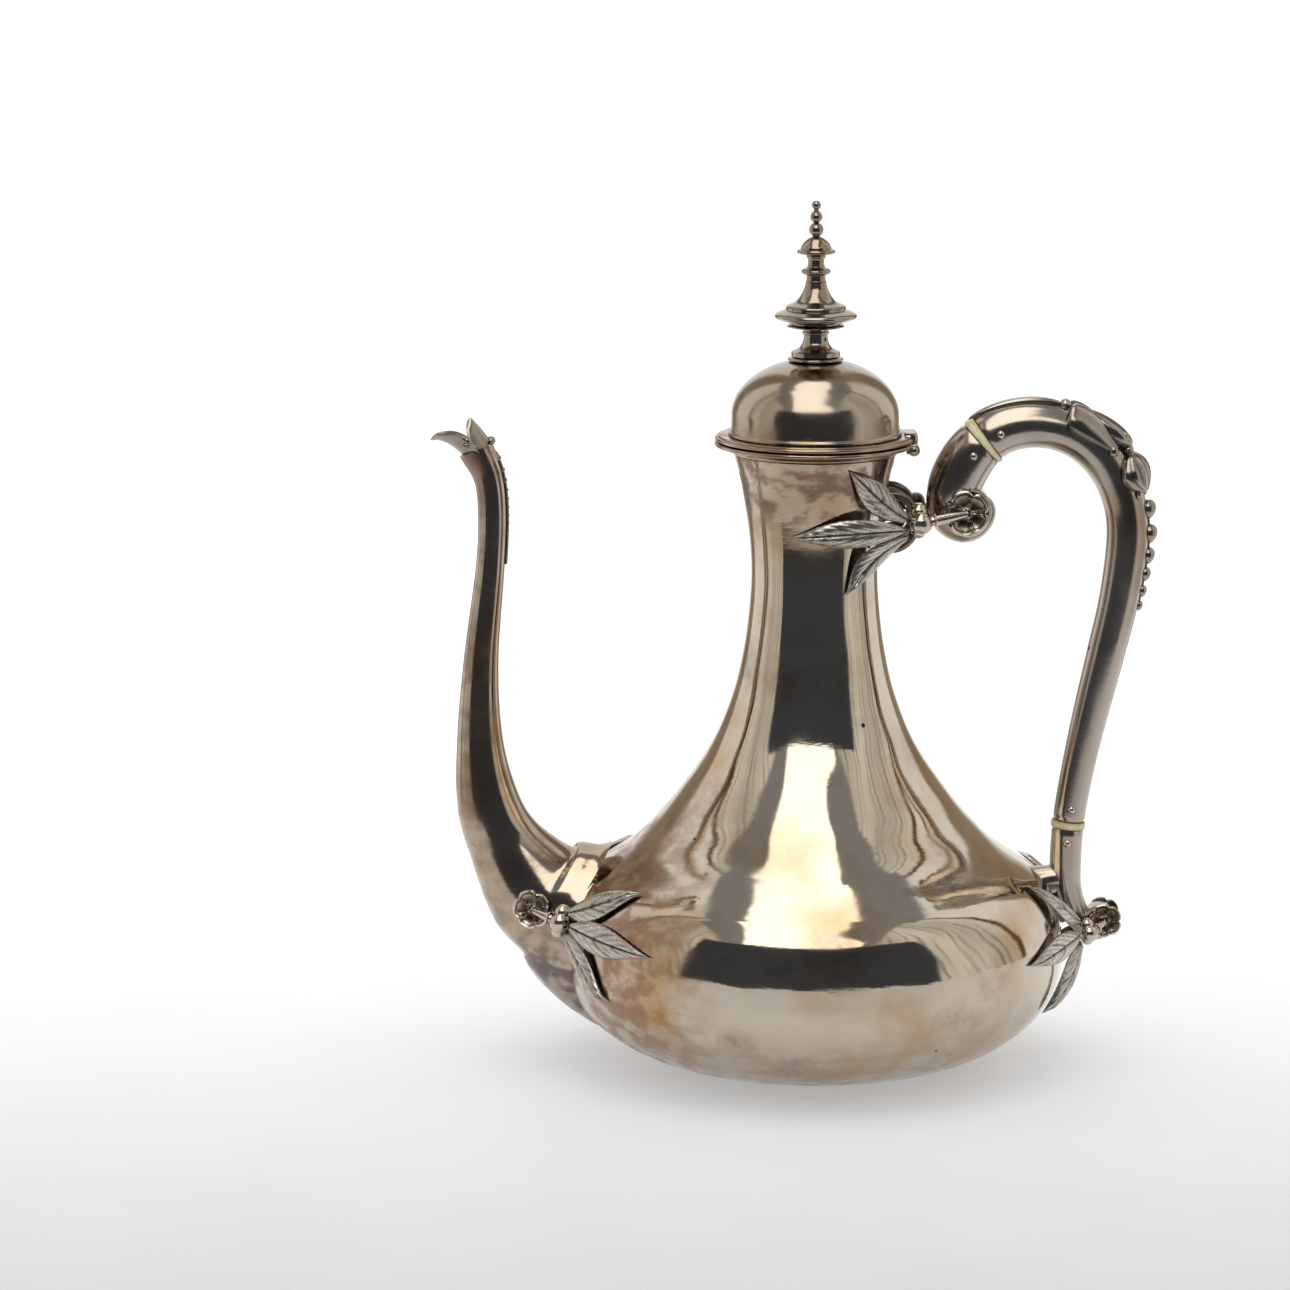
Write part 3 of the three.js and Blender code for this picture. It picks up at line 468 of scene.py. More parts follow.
OUTLINE = body_outline()
inner = moved_out(OUTLINE, -WALL)[::3]
inner = inner[inner[:, 1] > WALL + 0.2][::-1]
inner[0, 1] = NECK_TOP
vessel = np.vstack([[(0, 0), (BASE_RADIUS - 1.5, 0)], OUTLINE, inner, [(inner[-1, 0] - 4, WALL), (0, WALL)]])
pot_body = piece("pot_body", [closed(turned(vessel, 176))], BODY_SILVER)


def body_radius(height):
    """The body's outer radius at a height."""
    return np.interp(height, OUTLINE[:, 1], OUTLINE[:, 0])


def on_body(angle, height, lift):
    """A point at an angle and height on the body, moved off it along its normal by `lift`."""
    slope = body_radius(height + 0.5) - body_radius(height - 0.5)
    size = np.sqrt(1 + slope**2)
    radius = body_radius(height) + lift / size
    return np.stack([radius * np.cos(angle), radius * np.sin(angle), height - lift * slope / size], -1)


print("body:", len(pot_body.data.polygons), "faces")

# %% [markdown]
# ## Rims, lid and finial
# Two reeded rings meet where the lid closes: one is soldered round the mouth over a thin wire, one
# carries the dome. Both are notched for the hinge, and a notch is only a limit on the radius between
# two lines of y. The finial is turned from the solid, so its outline is a run of beads, coves and
# discs that meet in sharp creases.

# %% Mouth rim and lid
MOUTH_RADIUS, HINGE_X, HINGE_Z, HINGE_HALF = 22.4, 29.2, 186.2, 7.0
NOTCH_X = HINGE_X - 2.5


def notched(grid, half=HINGE_HALF + 0.4):
    """Pulls in every point that would stand in the hinge's notch, x above the limit and |y| below half."""
    radius = np.hypot(grid[..., 0], grid[..., 1])
    inside = (grid[..., 0] > NOTCH_X) & (np.abs(grid[..., 1]) < half)
    scale = np.where(inside, NOTCH_X / np.maximum(grid[..., 0], 1), 1)
    return grid * np.stack([scale, scale, np.ones_like(scale)], -1)


rim_low, rim_top = NECK_TOP + 0.3, 188.2
rim = np.vstack([
    [(MOUTH_RADIUS, rim_low)], arc((24.55, rim_low + 0.75), 0.75, -90, 80),
    runs([(24.9, 186.4), (26.4, 186.75), (28.9, 186.75)]), arc((29.3, 187.5), 0.65, -80, 90),
    [(28.2, rim_top), (MOUTH_RADIUS, rim_top)],
])
piece("mouth_rim", [closed(notched(turned(rim, 256)), wrap_rows=True)], LID_SILVER)

flange = np.vstack([
    [(21.2, 188.6), (28.9, 188.6)], arc((29.3, 189.15), 0.6, -70, 110, 9),
    arc((28.3, 189.75), 0.4, -40, 100, 7), [(27.2, 190.1), (21.2, 190.1)],
])
piece("lid_rim", [closed(notched(turned(flange, 256)), wrap_rows=True)], LID_SILVER)

DOME_RADIUS, DOME_SPRING, DOME_RISE, DOME_WALL = 25.0, 196.0, 17.0, 1.1
turn = np.linspace(0, 0.47 * np.pi, 60)
dome = np.vstack([
    runs([(25.9, 190.4), (25.75, 191.0), (25.3, 191.6), (25.05, 193.4), (DOME_RADIUS, DOME_SPRING)]),
    np.stack([DOME_RADIUS * np.cos(turn), DOME_SPRING + DOME_RISE * np.sin(turn)], -1)[1:],
])
dome_inside = np.stack([dome[:, 0] - DOME_WALL * dome[:, 0] / DOME_RADIUS,
                        dome[:, 1] - DOME_WALL * np.clip((dome[:, 1] - DOME_SPRING) / DOME_RISE, 0, 1)], -1)
piece("lid_dome", [closed(turned(np.vstack([dome, dome_inside[::-2]]), 144), wrap_rows=True)], LID_SILVER)

bezel = [(20.8, 180.3), (21.3, 180.15), (21.7, 180.6), (21.7, 188.3), (20.8, 188.3)]
piece("lid_bezel", [closed(turned(bezel, 144), wrap_rows=True)], LID_SILVER)
print("dome top at", round(dome[-1, 1], 1), "mm")

# %% Finial
FINIAL_BASE = 213.8


def finial_outline():
    """(radius, height above the finial's base) of the stud, cylinder, spools, discs and three beads."""
    lower = runs(
        [(0, -6.4), (1.9, -6.4)], [(1.9, -6.4), (1.9, 0)], [(1.9, 0), (7.3, 0)], [(7.3, 0), (7.3, 1.2)],
        [(7.3, 1.2), (6.6, 1.55), (5.1, 2.3), (4.1, 3.5), (3.65, 5), (3.55, 6.3)],
        [(3.55, 6.3), (3.95, 6.6), (3.95, 7.2), (3.55, 7.5)], [(3.55, 7.5), (3.5, 8.3)],
        [(3.5, 8.3), (7.6, 8.45), (8.65, 8.85), (7.9, 9.35), (7.2, 9.5)], [(7.2, 9.5), (7.1, 9.95)],
        [(7.1, 9.95), (9.8, 10.35), (11.8, 11.2), (12.3, 11.9), (11.8, 12.6), (9.9, 13.45), (9.0, 13.8)],
        [(9.0, 13.8), (8.9, 14.3)], [(8.9, 14.3), (9.1, 14.6), (8.7, 14.95)],
        [(8.7, 14.95), (6.2, 16.1), (4.7, 17.7), (3.6, 19.8), (3.05, 21.7)], [(3.05, 21.7), (3.2, 22)],
        [(3.2, 22), (2.85, 22.4), (2.8, 23.9)], [(2.8, 23.9), (3.9, 24.4), (4.35, 25.1), (3.9, 25.8), (2.7, 26.3)],
        [(2.7, 26.3), (2.4, 27.4), (2.45, 28.7), (2.9, 29.5)], [(2.9, 29.5), (2.95, 30.2)],
        [(2.95, 30.2), (4.9, 30.35), (5.65, 30.8), (5.5, 31.5), (4.6, 31.75)],
        [(4.6, 31.75), (4.35, 32.6), (3.6, 33.8), (2.3, 34.9), (1.2, 35.5)], each=6,
    )
    beads = [arc((0, 37.5), 2.15, -66, 62, 12), arc((0, 41.3), 1.8, -62, 60, 11), arc((0, 44.75), 1.4, -60, 90, 12)]
    return np.vstack([lower, *beads]) + [0, FINIAL_BASE]


piece("finial", [closed(turned(finial_outline(), 72))], FINIAL_SILVER, crease=30)
seat = np.vstack([[(2.4, 213.2), (7.4, 212.6)], arc((8.0, 212.85), 0.35, -90, 80, 7), [(7.4, 213.5), (2.4, 213.5)]])
piece("finial_seat", [closed(turned(seat, 72), wrap_rows=True)], FINIAL_SILVER)
print("finial from", FINIAL_BASE, "to", round(finial_outline()[:, 1].max(), 1), "mm")

# %% [markdown]
# ## The spout
# The spout is a tapering tube, seamed, filled with pitch and bent. It is oval where it opens into the
# body and stands a little proud there, with a sharp corner on top where its edge was filed to fit.
# One limb gives its middle line and its two half sizes, and `swell` adds the proud corner.

# %% Spout
SPOUT = limb([
    (-40, 33.2, 30, 25.5), (-54, 36, 29, 26), (-68.5, 42.4, 25, 22.5), (-76.6, 47.4, 20, 19), (-83.9, 52.6, 16.5, 15.8),
    (-92.9, 65.5, 11.6, 11.3), (-97.9, 78, 9.6, 9.4), (-100.3, 97, 7, 7), (-99.9, 121, 5.3, 5.3),
    (-97, 150, 4.35, 4.35), (-96.3, 166, 4.3, 4.3), (-97.4, 177, 4.4, 4.4), (-101.2, 185.6, 5.2, 5),
])
TUBE_WALL = 1.2
spout_length = SPOUT[0][-1]
top_x = SPOUT[1] - SPOUT[3] * SPOUT[5]
corner = SPOUT[0][np.argmax(top_x < -62.2)]


def spout_swell(distance, angle):
    """Up to 2.6 mm more on the side toward the neck, dying away from the corner; behind the corner it sinks."""
    top = np.clip(-np.cos(angle), 0, 1)
    near = 2.6 * np.exp(-np.maximum(distance - corner, 0) / 2.4) * top**8
    return np.where(distance >= corner, near, -12 * top**6)


along = np.concatenate([np.linspace(0, corner - 0.4, 14), np.linspace(corner, corner + 20, 36),
                        np.linspace(corner + 21, spout_length, 130)])
down_inside = np.linspace(spout_length, spout_length - 34, 22)
rows = [(0, -30), *[(d, 0) for d in along], (spout_length + 0.25, -0.35), (spout_length + 0.2, -0.9)]
rows += [(d, -TUBE_WALL) for d in down_inside] + [(down_inside[-1], -8)]
tube = drawn(SPOUT, rows, 56, spout_swell)
piece("spout_tube", [capped(tube)], SPOUT_SILVER)
print("spout:", round(spout_length), "mm along its middle line")

# %% [markdown]
# The spout ends in two small cast leaves. One is the pouring lip, a trough that curls outward. The
# other stands up behind the mouth. Below it a thin rib carries beads that get smaller downward.

# %% Spout lip, calyx and bead crest
def trough(line, widths, cups, thickness, ribs=0):
    """
    A leaf along a line in the XZ plane. Across it, from -1 to 1, the surface rises by cup times the
    square, and its edges are thickened into a bead. Ribs run along it as a cosine.
    """
    count = 48
    x, z, width, cup = np.hstack([spline(line, count), spline(np.stack([widths, cups], -1), count)]).T[..., None]
    angle = np.linspace(0, 2 * np.pi, 44, endpoint=False)[None, :]
    across, face = np.cos(angle), np.sin(angle)
    slope = np.stack([np.gradient(x[:, 0]), np.gradient(z[:, 0])])
    slope /= np.hypot(*slope)
    body = thickness / 2 * face * (1 + 0.7 * np.abs(across) ** 8) * np.clip(width / 3, 0, 1) ** 0.5
    wave = 0.16 * np.cos(ribs * np.pi * across) * (face > 0) if ribs else 0
    height = cup * across**2 + body + wave * np.clip(width / 4, 0, 1)
    dark = np.clip(0.75 - 2.2 * np.abs(np.sin(ribs * np.pi / 2 * across)), 0, 1) * (face > 0) if ribs else 0
    return closed(np.stack([x - slope[1][:, None] * height, width / 2 * across + 0 * x,
                            z + slope[0][:, None] * height], -1), dark=dark)


lip = trough([(-102.3, 180.9), (-104.9, 184.4), (-108.6, 187.4), (-112.2, 188.8), (-114.7, 188.5)],
             [8.6, 10.6, 10.2, 6.4, 0.2], [-4.4, -4.2, -3.2, -1.5, 0], 0.9)
edge = [closed(ball((-103.9, y, 187.4), 0.8, (1.4, 0.8, 0.9))) for y in (-4.9, 4.9)]
piece("spout_lip", [lip, *edge], FINIAL_SILVER)
back = trough([(-94.6, 182.4), (-96.6, 187.0), (-99.2, 190.6), (-101.6, 193.4), (-103.2, 195.1)],
              [5.5, 9.4, 9.2, 6.4, 0.2], [1.6, 3.8, 4.6, 3.0, 0], 1.1, ribs=3)
inside = trough([(-99.6, 186.4), (-101.4, 189.6), (-103.0, 192.6), (-103.6, 194.4)],
                [5.0, 6.8, 4.6, 0.2], [0.8, 1.4, 0.9, 0], 0.8)
knob = closed(ball((-96.6, 0, 188.2), 1.4, (1, 1.6, 1)))
piece("spout_calyx", [back, inside, knob], FINIAL_SILVER)

crest_top, crest_foot = nearest(SPOUT, -98.8, 181), nearest(SPOUT, -97, 152)


def behind_spout(distance, lift):
    """A point on the side of the spout toward the neck, `lift` off the metal."""
    x, z, out_x, out_z, high, _ = at(SPOUT, distance)
    return np.stack([x - out_x * (high + lift), np.zeros_like(x), z - out_z * (high + lift)], -1)


rib_line = behind_spout(np.linspace(crest_foot - 1, crest_top + 2, 12), 0.25)
rib = limb([(x, z, 0.5, 0.7) for x, _, z in rib_line])
parts = [closed(drawn(rib, [(0, -0.74), *[(d, 0) for d in np.linspace(0.3, rib[0][-1] - 0.3, 30)],
                            (rib[0][-1], -0.74)], 12))]
BEADS = 13
for share in np.linspace(0, 1, BEADS) ** 0.9:
    size = 1.0 - 0.45 * share
    centre = behind_spout(crest_top + (crest_foot - crest_top) * share, 0.25)
    parts.append(closed(ball(centre, size, (0.85, 0.8, 1), 9, 14)))
piece("spout_bead_crest", parts, CREST_SILVER)
print("crest:", BEADS, "beads")

# %% [markdown]
# ## The handle
# The handle is a C of tapering tube in three lengths. Its ends are soldered to the pot by the sprays
# and the lower socket, and the grip between them is kept apart from both by a ring of ivory with a
# spigot inside each tube. Silver pins with round heads hold the spigots.

# %% Handle tubes
HANDLE = limb([
    (49.2, 171.8, 1.4), (51.2, 167.6, 2.9), (48.8, 163.2, 3.9), (44.4, 162.2, 4.9), (40.4, 166.2, 6.4),
    (41.2, 173.4, 7.8), (44.2, 180.6, 8.1), (48.4, 186.4, 7.8), (54, 190.6, 7.3), (61, 192.7, 7),
    (68.2, 192.8, 6.8), (75.4, 190.9, 6.7), (81.9, 186.8, 6.5), (87.4, 180.8, 6.4), (91.2, 173.6, 6.4),
    (93.2, 165.6, 6.3), (93.4, 156, 6.3), (91.2, 140, 6), (87.6, 124, 5.75), (84, 108.6, 5.45),
    (80.8, 94, 5.1), (78.2, 80, 4.9), (76.9, 70, 4.85), (76.4, 60, 4.8), (76.8, 51.5, 4.6),
    (79.4, 44.2, 4.1), (84.4, 38.9, 3.4), (89.2, 39.4, 2.9),
], 3000)
upper_joint, lower_joint = nearest(HANDLE, 50.9, 187.8), nearest(HANDLE, 76.95, 71.4)
HALF_RING, JOINT_GAP, SPIGOT = 1.2, 0.15, 7.0


def boss(x, z, radius, half):
    """The rounded drum in the middle of a volute, with a shallow dish in each face."""
    outline = [(0, 0), (0.1, radius * 0.5), (0, radius * 0.72), (-0.5, radius * 0.86), (0.2, radius * 0.97),
               (1.2, radius)]
    flipped = [(2 * half - d, r) for d, r in outline[::-1]]
    return closed(spun((x, -half, z), (x, half, z), np.vstack([spline(outline, 26), spline(flipped, 26)]), 40))


def tube_length(start, end, hollow_start, hollow_end, columns=44):
    """A tube between two distances: `hollow` is how deep each end is open, or 0 where it closes in a point."""
    steps = np.linspace(start, end, max(int((end - start) * 1.1), 12))
    rows = [(start, -TUBE_WALL)] if hollow_start else [(start, -20)]
    rows += [(start + 0.02, -0.3), *[(d, 0) for d in steps[1:-1]], (end - 0.02, -0.3)]
    if hollow_end:
        rows += [(end, -TUBE_WALL), (end - hollow_end, -TUBE_WALL)]
    rows += [(end - hollow_end, -20)]
    if hollow_start:
        rows = [(start + hollow_start, -20), (start + hollow_start, -TUBE_WALL), *rows]
    return capped(drawn(HANDLE, rows, columns))


upper_end, lower_start = upper_joint - HALF_RING - JOINT_GAP, lower_joint + HALF_RING + JOINT_GAP
upper_socket = [tube_length(0, upper_end, 0, SPIGOT), boss(45.0, 167.6, 7.6, 6.2)]
piece("handle_upper_socket", upper_socket, TUBE_SILVER)
grip_start, grip_end = upper_joint + HALF_RING + JOINT_GAP, lower_joint - HALF_RING - JOINT_GAP
piece("handle_grip", [tube_length(grip_start, grip_end, SPIGOT, SPIGOT)], TUBE_SILVER)

fillet = limb([(62, 50.6, 8.6, 7.4), (67, 52.4, 6.4, 5.6), (70.4, 53.6, 5, 4.5), (76, 54.6, 4.4, 4.0)])
spread = drawn(fillet, [(0, -8), *[(d, 0) for d in np.linspace(0.5, fillet[0][-1] - 0.5, 30)], (fillet[0][-1], -4)])
lower_socket = [tube_length(lower_start, HANDLE[0][-1], SPIGOT, 0), boss(87.1, 41.7, 5.2, 3.4), capped(spread)]
piece("handle_lower_socket", lower_socket, TUBE_SILVER)

for name, joint in (("upper_insulator", upper_joint), ("lower_insulator", lower_joint)):
    reach = HALF_RING + SPIGOT - 0.5
    rows = [(-reach, -9), (-reach, -2), (-HALF_RING, -2), (-HALF_RING, -0.3), (-HALF_RING + 0.2, 0.25),
            (0, 0.4), (HALF_RING - 0.2, 0.25), (HALF_RING, -0.3), (HALF_RING, -2), (reach, -2), (reach, -9)]
    grid = drawn(HANDLE, [(joint + d, g) for d, g in rows])
    grid[0], grid[-1] = grid[0].mean(0), grid[-1].mean(0)
    edges = np.array([1, 1, 1, 1, 0.4, 0, 0.4, 1, 1, 1, 1])[:, None]
    piece(name, [closed(grid, dark=edges)], IVORY)

PIN_PLACES = {
    "handle_pin_upper_socket": upper_joint - HALF_RING - 4, "handle_pin_upper_grip": upper_joint + HALF_RING + 4,
    "handle_pin_lower_grip": lower_joint - HALF_RING - 4, "handle_pin_lower_socket": lower_joint + HALF_RING + 4,
}
for name, place in PIN_PLACES.items():
    x, z, _, _, _, wide = at(HANDLE, place)
    head = [(0, 0), (0.08, 0.5), (0.3, 0.9), (0.6, 1.12), (0.85, 1.1), (0.9, 0.95), (0.8, 1.3), (1.3, 1.4), (1.5, 0.9)]
    length = 2 * (wide + 0.75)
    outline = np.array(head + [(length - d, r) for d, r in head[::-1]])
    # The head is darkened as painted shade in the groove under its dome and round its rim where it meets the tube.
    ring = np.array([0, 0, 0, 0, 0.7, 1, 0.8, 0.6, 1])
    shade = np.concatenate([ring, ring[::-1]])[:, None]
    pin = spun((x, -length / 2, z), (x, length / 2, z), outline, 28)
    piece(name, [closed(pin, dark=shade)], BERRY_SILVER)
print("handle:", round(HANDLE[0][-1]), "mm along its middle line")

# %% [markdown]
# Along the top and the back of the grip lie a thumb ridge, two ribbed buds and a row of scales. They
# are cast strips that wrap the tube, so each is a skin over part of the tube's round: its height off
# the tube is a bulge along the strip times a bulge across it, with grooves as a cosine.

# %% Ridge, buds and scales
def skin(start, end, half_angle, bulge, ribs, rib_depth, taper=0.5, middle=0.0, lean=1.0):
    """
    A skin from one distance to another and over an angle to each side of `middle`, which is 0 on the
    tube's back. Its outline narrows at both ends as the sine to a power, widest early when `lean` is under
    1, and its edges are thick.
    """
    share = np.linspace(0, 1, 64)[:, None]
    turn = np.linspace(0, 2 * np.pi, 72, endpoint=False)[None, :]
    across, face = np.cos(turn), np.sin(turn)
    spread = np.sin(np.pi * np.clip(share, 0.001, 0.999) ** lean) ** taper
    psi = np.radians(middle + half_angle * across * spread)
    x, z, out_x, out_z, high, wide = (row[:, None] for row in at(HANDLE, start + (end - start) * share[:, 0]))
    ribbed = rib_depth * (np.cos(ribs * np.pi * across) - 1) * spread
    upper = bulge(share) * spread**0.4 * (1 - across**4) ** 0.5 + ribbed
    offset = np.where(face >= 0, upper, -0.9)
    groove = np.clip(1 - 1.6 * (1 + np.cos(ribs * np.pi * across)), 0, 1) * (face >= 0) * 0.8
    outward = (high + offset) * np.cos(psi)
    return closed(np.stack([x + out_x * outward, (wide + offset) * np.sin(psi), z + out_z * outward], -1),
                  dark=groove + 0 * share)


def back_of(x, z):
    """The distance along the handle nearest to a place."""
    return nearest(HANDLE, x, z)


def on_tube(distance, angle, lift):
    """A point on the tube at an angle from its back, negative toward the front, `lift` off the metal."""
    x, z, out_x, out_z, high, wide = at(HANDLE, distance)
    outward = (high + lift) * math.cos(math.radians(angle))
    return np.array([x + out_x * outward, (wide + lift) * math.sin(math.radians(angle)), z + out_z * outward])


ridge = skin(back_of(50.5, 188.6), back_of(71.5, 192.4), 17, lambda s: 1.15 + 0.7 * s, 1, 0.0, 0.35)
ridge_ball = closed(ball(on_tube(back_of(72.4, 191.9), 0, 0.7), 1.75, (1, 1.25, 1)))
piece("handle_ridge", [ridge, ridge_ball], TUBE_SILVER)

bud_start, bud_end = back_of(73.4, 191.6), back_of(86.4, 182.0)
top_petal = skin(bud_start + 2, bud_end + 1, 38, lambda s: 2.6 + 2.4 * s, 3, 0.12, 0.42, 0.0, 1.3)
side_petals = [skin(bud_start, bud_end - 1, 44, lambda s: 3.9 - 2.4 * s, 1, 0.1, 0.45, side * 44, 0.55)
               for side in (-1, 1)]
curls = [closed(ball(on_tube(bud_end - 1.4, side * 56, 0.6), 1.3, (1.1, 0.9, 1.3))) for side in (-1, 1)]
seeds = [closed(ball(on_tube(bud_end - 2.2, side * 15, 3.4), 1.1)) for side in (-1, 1)]
piece("handle_bud_upper", [top_petal, *side_petals, *curls, *seeds], CREST_SILVER)

acorn_start, acorn_end = back_of(87.4, 180.8), back_of(92.2, 171.2)
acorn = skin(acorn_start, acorn_end, 80, lambda s: 2.2 + 2.2 * np.sin(np.pi * s**0.8), 9, 0.16, 0.36)
tips = [closed(ball(on_tube(acorn_end - 0.4, angle, 0.5), 0.9, (0.9, 0.9, 1.9))) for angle in (-48, 0, 48)]
collar = closed(ball(on_tube(acorn_start - 0.4, 0, 1.2), 1.7, (1, 1.5, 1)))
piece("handle_bud_lower", [collar, acorn, *tips], CREST_SILVER)

SCALES = [(93.2, 166.6, 3.0), (93.4, 160.2, 2.9), (92.9, 154.2, 2.6), (92.2, 148.8, 2.2), (91.4, 143.8, 1.9),
          (90.7, 139.6, 1.55)]
scales = [skin(back_of(93.3, 166.6), back_of(91, 138.4), 8, lambda s: 0.5 + 0 * s, 1, 0.0, 0.3)]
for x, z, size in SCALES:
    x, z, out_x, out_z, high, _ = at(HANDLE, back_of(x, z))
    grid = ball((0, 0, 0), size, (0.8, 0.85, 1))
    grid[..., 0] *= 1 + 0.22 * grid[..., 2] / size
    scales.append(closed(grid + [x + out_x * (high + 0.25), 0, z + out_z * (high + 0.25)]))
piece("handle_bead_row", scales, CREST_SILVER)
print("handle crest: ridge, two buds and", len(scales) - 1, "scales")

# %% [markdown]
# ## Cast sprays
# Three leaves fan out from a knot of berries at each joint, and a short stem ties the knot to a
# five-petalled flower. A leaf is a lance shape laid on the body: it starts on the berries, free of
# the pot, and lies down toward its tip. Its midrib and side veins are cut as narrow grooves, each the
# bell curve of a distance, and the same curves darken it.

# %% Leaves
def bell(distance, width):
    """A bell curve: 1 at the middle, 0.37 one width away."""
    return np.exp(-((distance / width) ** 2))


def leaf(root, tip, width, twist=0.0):
    """
    A leaf from a root (x, y, z) to a tip (x, z) on the body. s runs along it and u from -1 to 1 across.
    Its half width is sin(pi s^0.8) to the power 1.1. Its top is the root of 1 - u^2 plus 2.2 |u| (1 - |u|),
    so each half swells beside the midrib, and its veins are bell curves.
    """
    s = np.linspace(0.004, 0.998, 60)[:, None]
    turn = np.linspace(0, 2 * np.pi, 52, endpoint=False)[None, :]
    u, face = np.cos(turn), np.sin(turn)
    outline = np.maximum(np.sin(np.pi * s**0.8) ** 1.1, 0.17 * (1 - s) ** 0.5 * np.clip(s * 30, 0, 1))
    notch = 1 - 0.035 * np.abs(np.sin(15 * np.pi * s)) * (s > 0.25)
    across = u * outline * notch * width / 2
    rib = bell(u, 0.075)
    lean = (s - 0.3 * np.abs(u)) * 8.5
    veins = bell(lean - np.round(lean), 0.1) * np.clip(4 * np.abs(u), 0, 1) * (np.abs(u) < 0.93) * (s > 0.12)
    fine = bell((lean * 5) % 1 - 0.5, 0.25) * (np.abs(u) < 0.93)
    cuts = bell(lean - 3.2, 0.16) + bell(lean - 5.1, 0.14)
    veins = np.clip(veins + cuts * (np.abs(u) > 0.1) * (np.abs(u) < 0.8), 0, 1)
    swell = np.clip(outline * 3, 0, 1)
    top = (1.05 * np.sqrt(1 - u**2 + 1e-9) + 2.2 * np.abs(u) * (1 - np.abs(u)) - 0.36 * rib - 0.2 * veins
           - 0.05 * fine) * swell
    height = np.where(face >= 0, top, -0.35 * np.sqrt(1 - u**2 + 1e-9) * swell)
    root_angle, tip_angle = math.atan2(root[1], root[0]), -math.acos(tip[0] / body_radius(tip[1]))
    root_lift = math.hypot(root[0], root[1]) - body_radius(root[2])
    middle = root[2] + (tip[1] - root[2]) * s
    radius = body_radius(middle)
    round_ = (tip_angle - root_angle) * radius
    rise = tip[1] - root[2]
    length = np.hypot(round_, rise)
    angle = root_angle + (tip_angle - root_angle) * s - rise / length * across / radius
    level = middle + round_ / length * across
    stand = 0.75 + (root_lift - 0.75) * (1 - s) ** 2.5 + twist * (1 + u) * np.sin(np.pi * s)
    # The midrib and veins carry sulphide. The rim, the underside and the root near the berries are darkened as painted
    # shade.
    dark = np.clip(0.9 * rib + 0.6 * veins + 0.14 * fine + 0.4 * (np.abs(u) > 0.96), 0, 1) * (face >= 0)
    dark = np.clip(dark + 0.7 * (face < 0) + 0.35 * np.clip(1 - 5 * s, 0, 1), 0, 1)
    return closed(on_body(angle, level, stand + height), dark=dark)


print("a leaf's widest place is at", round(0.5 ** (1 / 0.8), 2), "of its length")

# %% [markdown]
# A flower is a shallow cup. Around it the radius swells five times, and each petal has a raised rim
# and a hollow, with a groove between neighbours. The berries are polished round, and the halves that
# face the body are darkened as painted shade, as are the flower's underside and the loop behind them.

# %% Flowers and berries
def flower(centre, radius, lean=0.0):
    """
    A cup facing -Y. At angle a the rim lies at radius times 1 - 0.17 (1 - |sin 2.5 a|)^2, and with p the
    share of it, the height is 1.2 p^2, plus bells at the rim and the middle, plus two ridges beside each
    groove, less a hollow in each petal.
    """
    p = np.concatenate([np.linspace(0.001, 1, 34), np.linspace(0.97, 0.001, 6)])[:, None]
    top = (np.arange(len(p)) < 34)[:, None]
    angle = np.linspace(0, 2 * np.pi, 120, endpoint=False)[None, :]
    petal = np.abs(np.sin(2.5 * angle))
    rim = radius * (1 - 0.17 * (1 - petal) ** 2)
    apart = np.arcsin(petal) * p * radius / 2.5
    ridge = bell(apart - 0.42, 0.17) * np.clip((p - 0.2) * 4, 0, 1)
    groove = bell(apart, 0.2) * np.clip((p - 0.2) * 4, 0, 1)
    hollow = np.clip(petal * 1.5, 0, 1) * np.sin(np.pi * np.clip(p, 0, 0.9) / 0.9)
    height = 1.2 * p**2 + 0.6 * bell(p - 0.9, 0.08) + 0.5 * ridge - 0.35 * groove - 0.5 * hollow
    height = height + 1.3 * bell(p, 0.16)
    height = np.where(top, height, 1.2 * p**2 - 1.2)
    # The hollows and grooves carry sulphide and the rubbed rims stay bright; the underside, toward the body, is
    # darkened as painted shade.
    dark = np.where(top, np.clip(0.95 * hollow + groove - 1.2 * bell(p - 0.92, 0.1) - ridge, 0, 1), 0.9)
    grid = np.stack([rim * p * np.cos(angle), -height, rim * p * np.sin(angle)], -1)
    turn = np.array([[math.cos(lean), -math.sin(lean), 0], [math.sin(lean), math.cos(lean), 0], [0, 0, 1]])
    return closed(grid @ turn.T + np.asarray(centre, float), dark=dark)


def berries(flower_centre, knot, stem_radius):
    """Berries with painted shade on the side toward the body, the collar beside the largest, and the stem that runs
    from the flower to it.
    """
    parts = []
    for x, y, z, radius in knot:
        grid = ball((x, y, z), radius, rows=20, columns=32)
        # Painted shade: each berry darkens on the half that faces the body, away from its front point.
        away = np.linalg.norm(grid - [x, y - radius, z], axis=-1) / radius
        parts.append(closed(grid, dark=np.clip((away - 1.35) * 2, 0, 0.9)))
    main = np.array(knot[0][:3])
    start = np.array(flower_centre, float) + [0, -2.2, 0]
    reach = np.linalg.norm(main - start)
    near = reach - knot[0][3]
    stem = [(0.2, 0), (0.3, stem_radius * 0.75), (reach * 0.35, stem_radius), (near - 1.2, stem_radius * 1.15),
            (near - 1.1, stem_radius * 1.65), (near - 0.5, stem_radius * 1.75), (near - 0.3, stem_radius * 1.1),
            (reach, stem_radius * 0.8), (reach, 0)]
    parts.append(closed(spun(start, main, stem, 24)))
    return parts


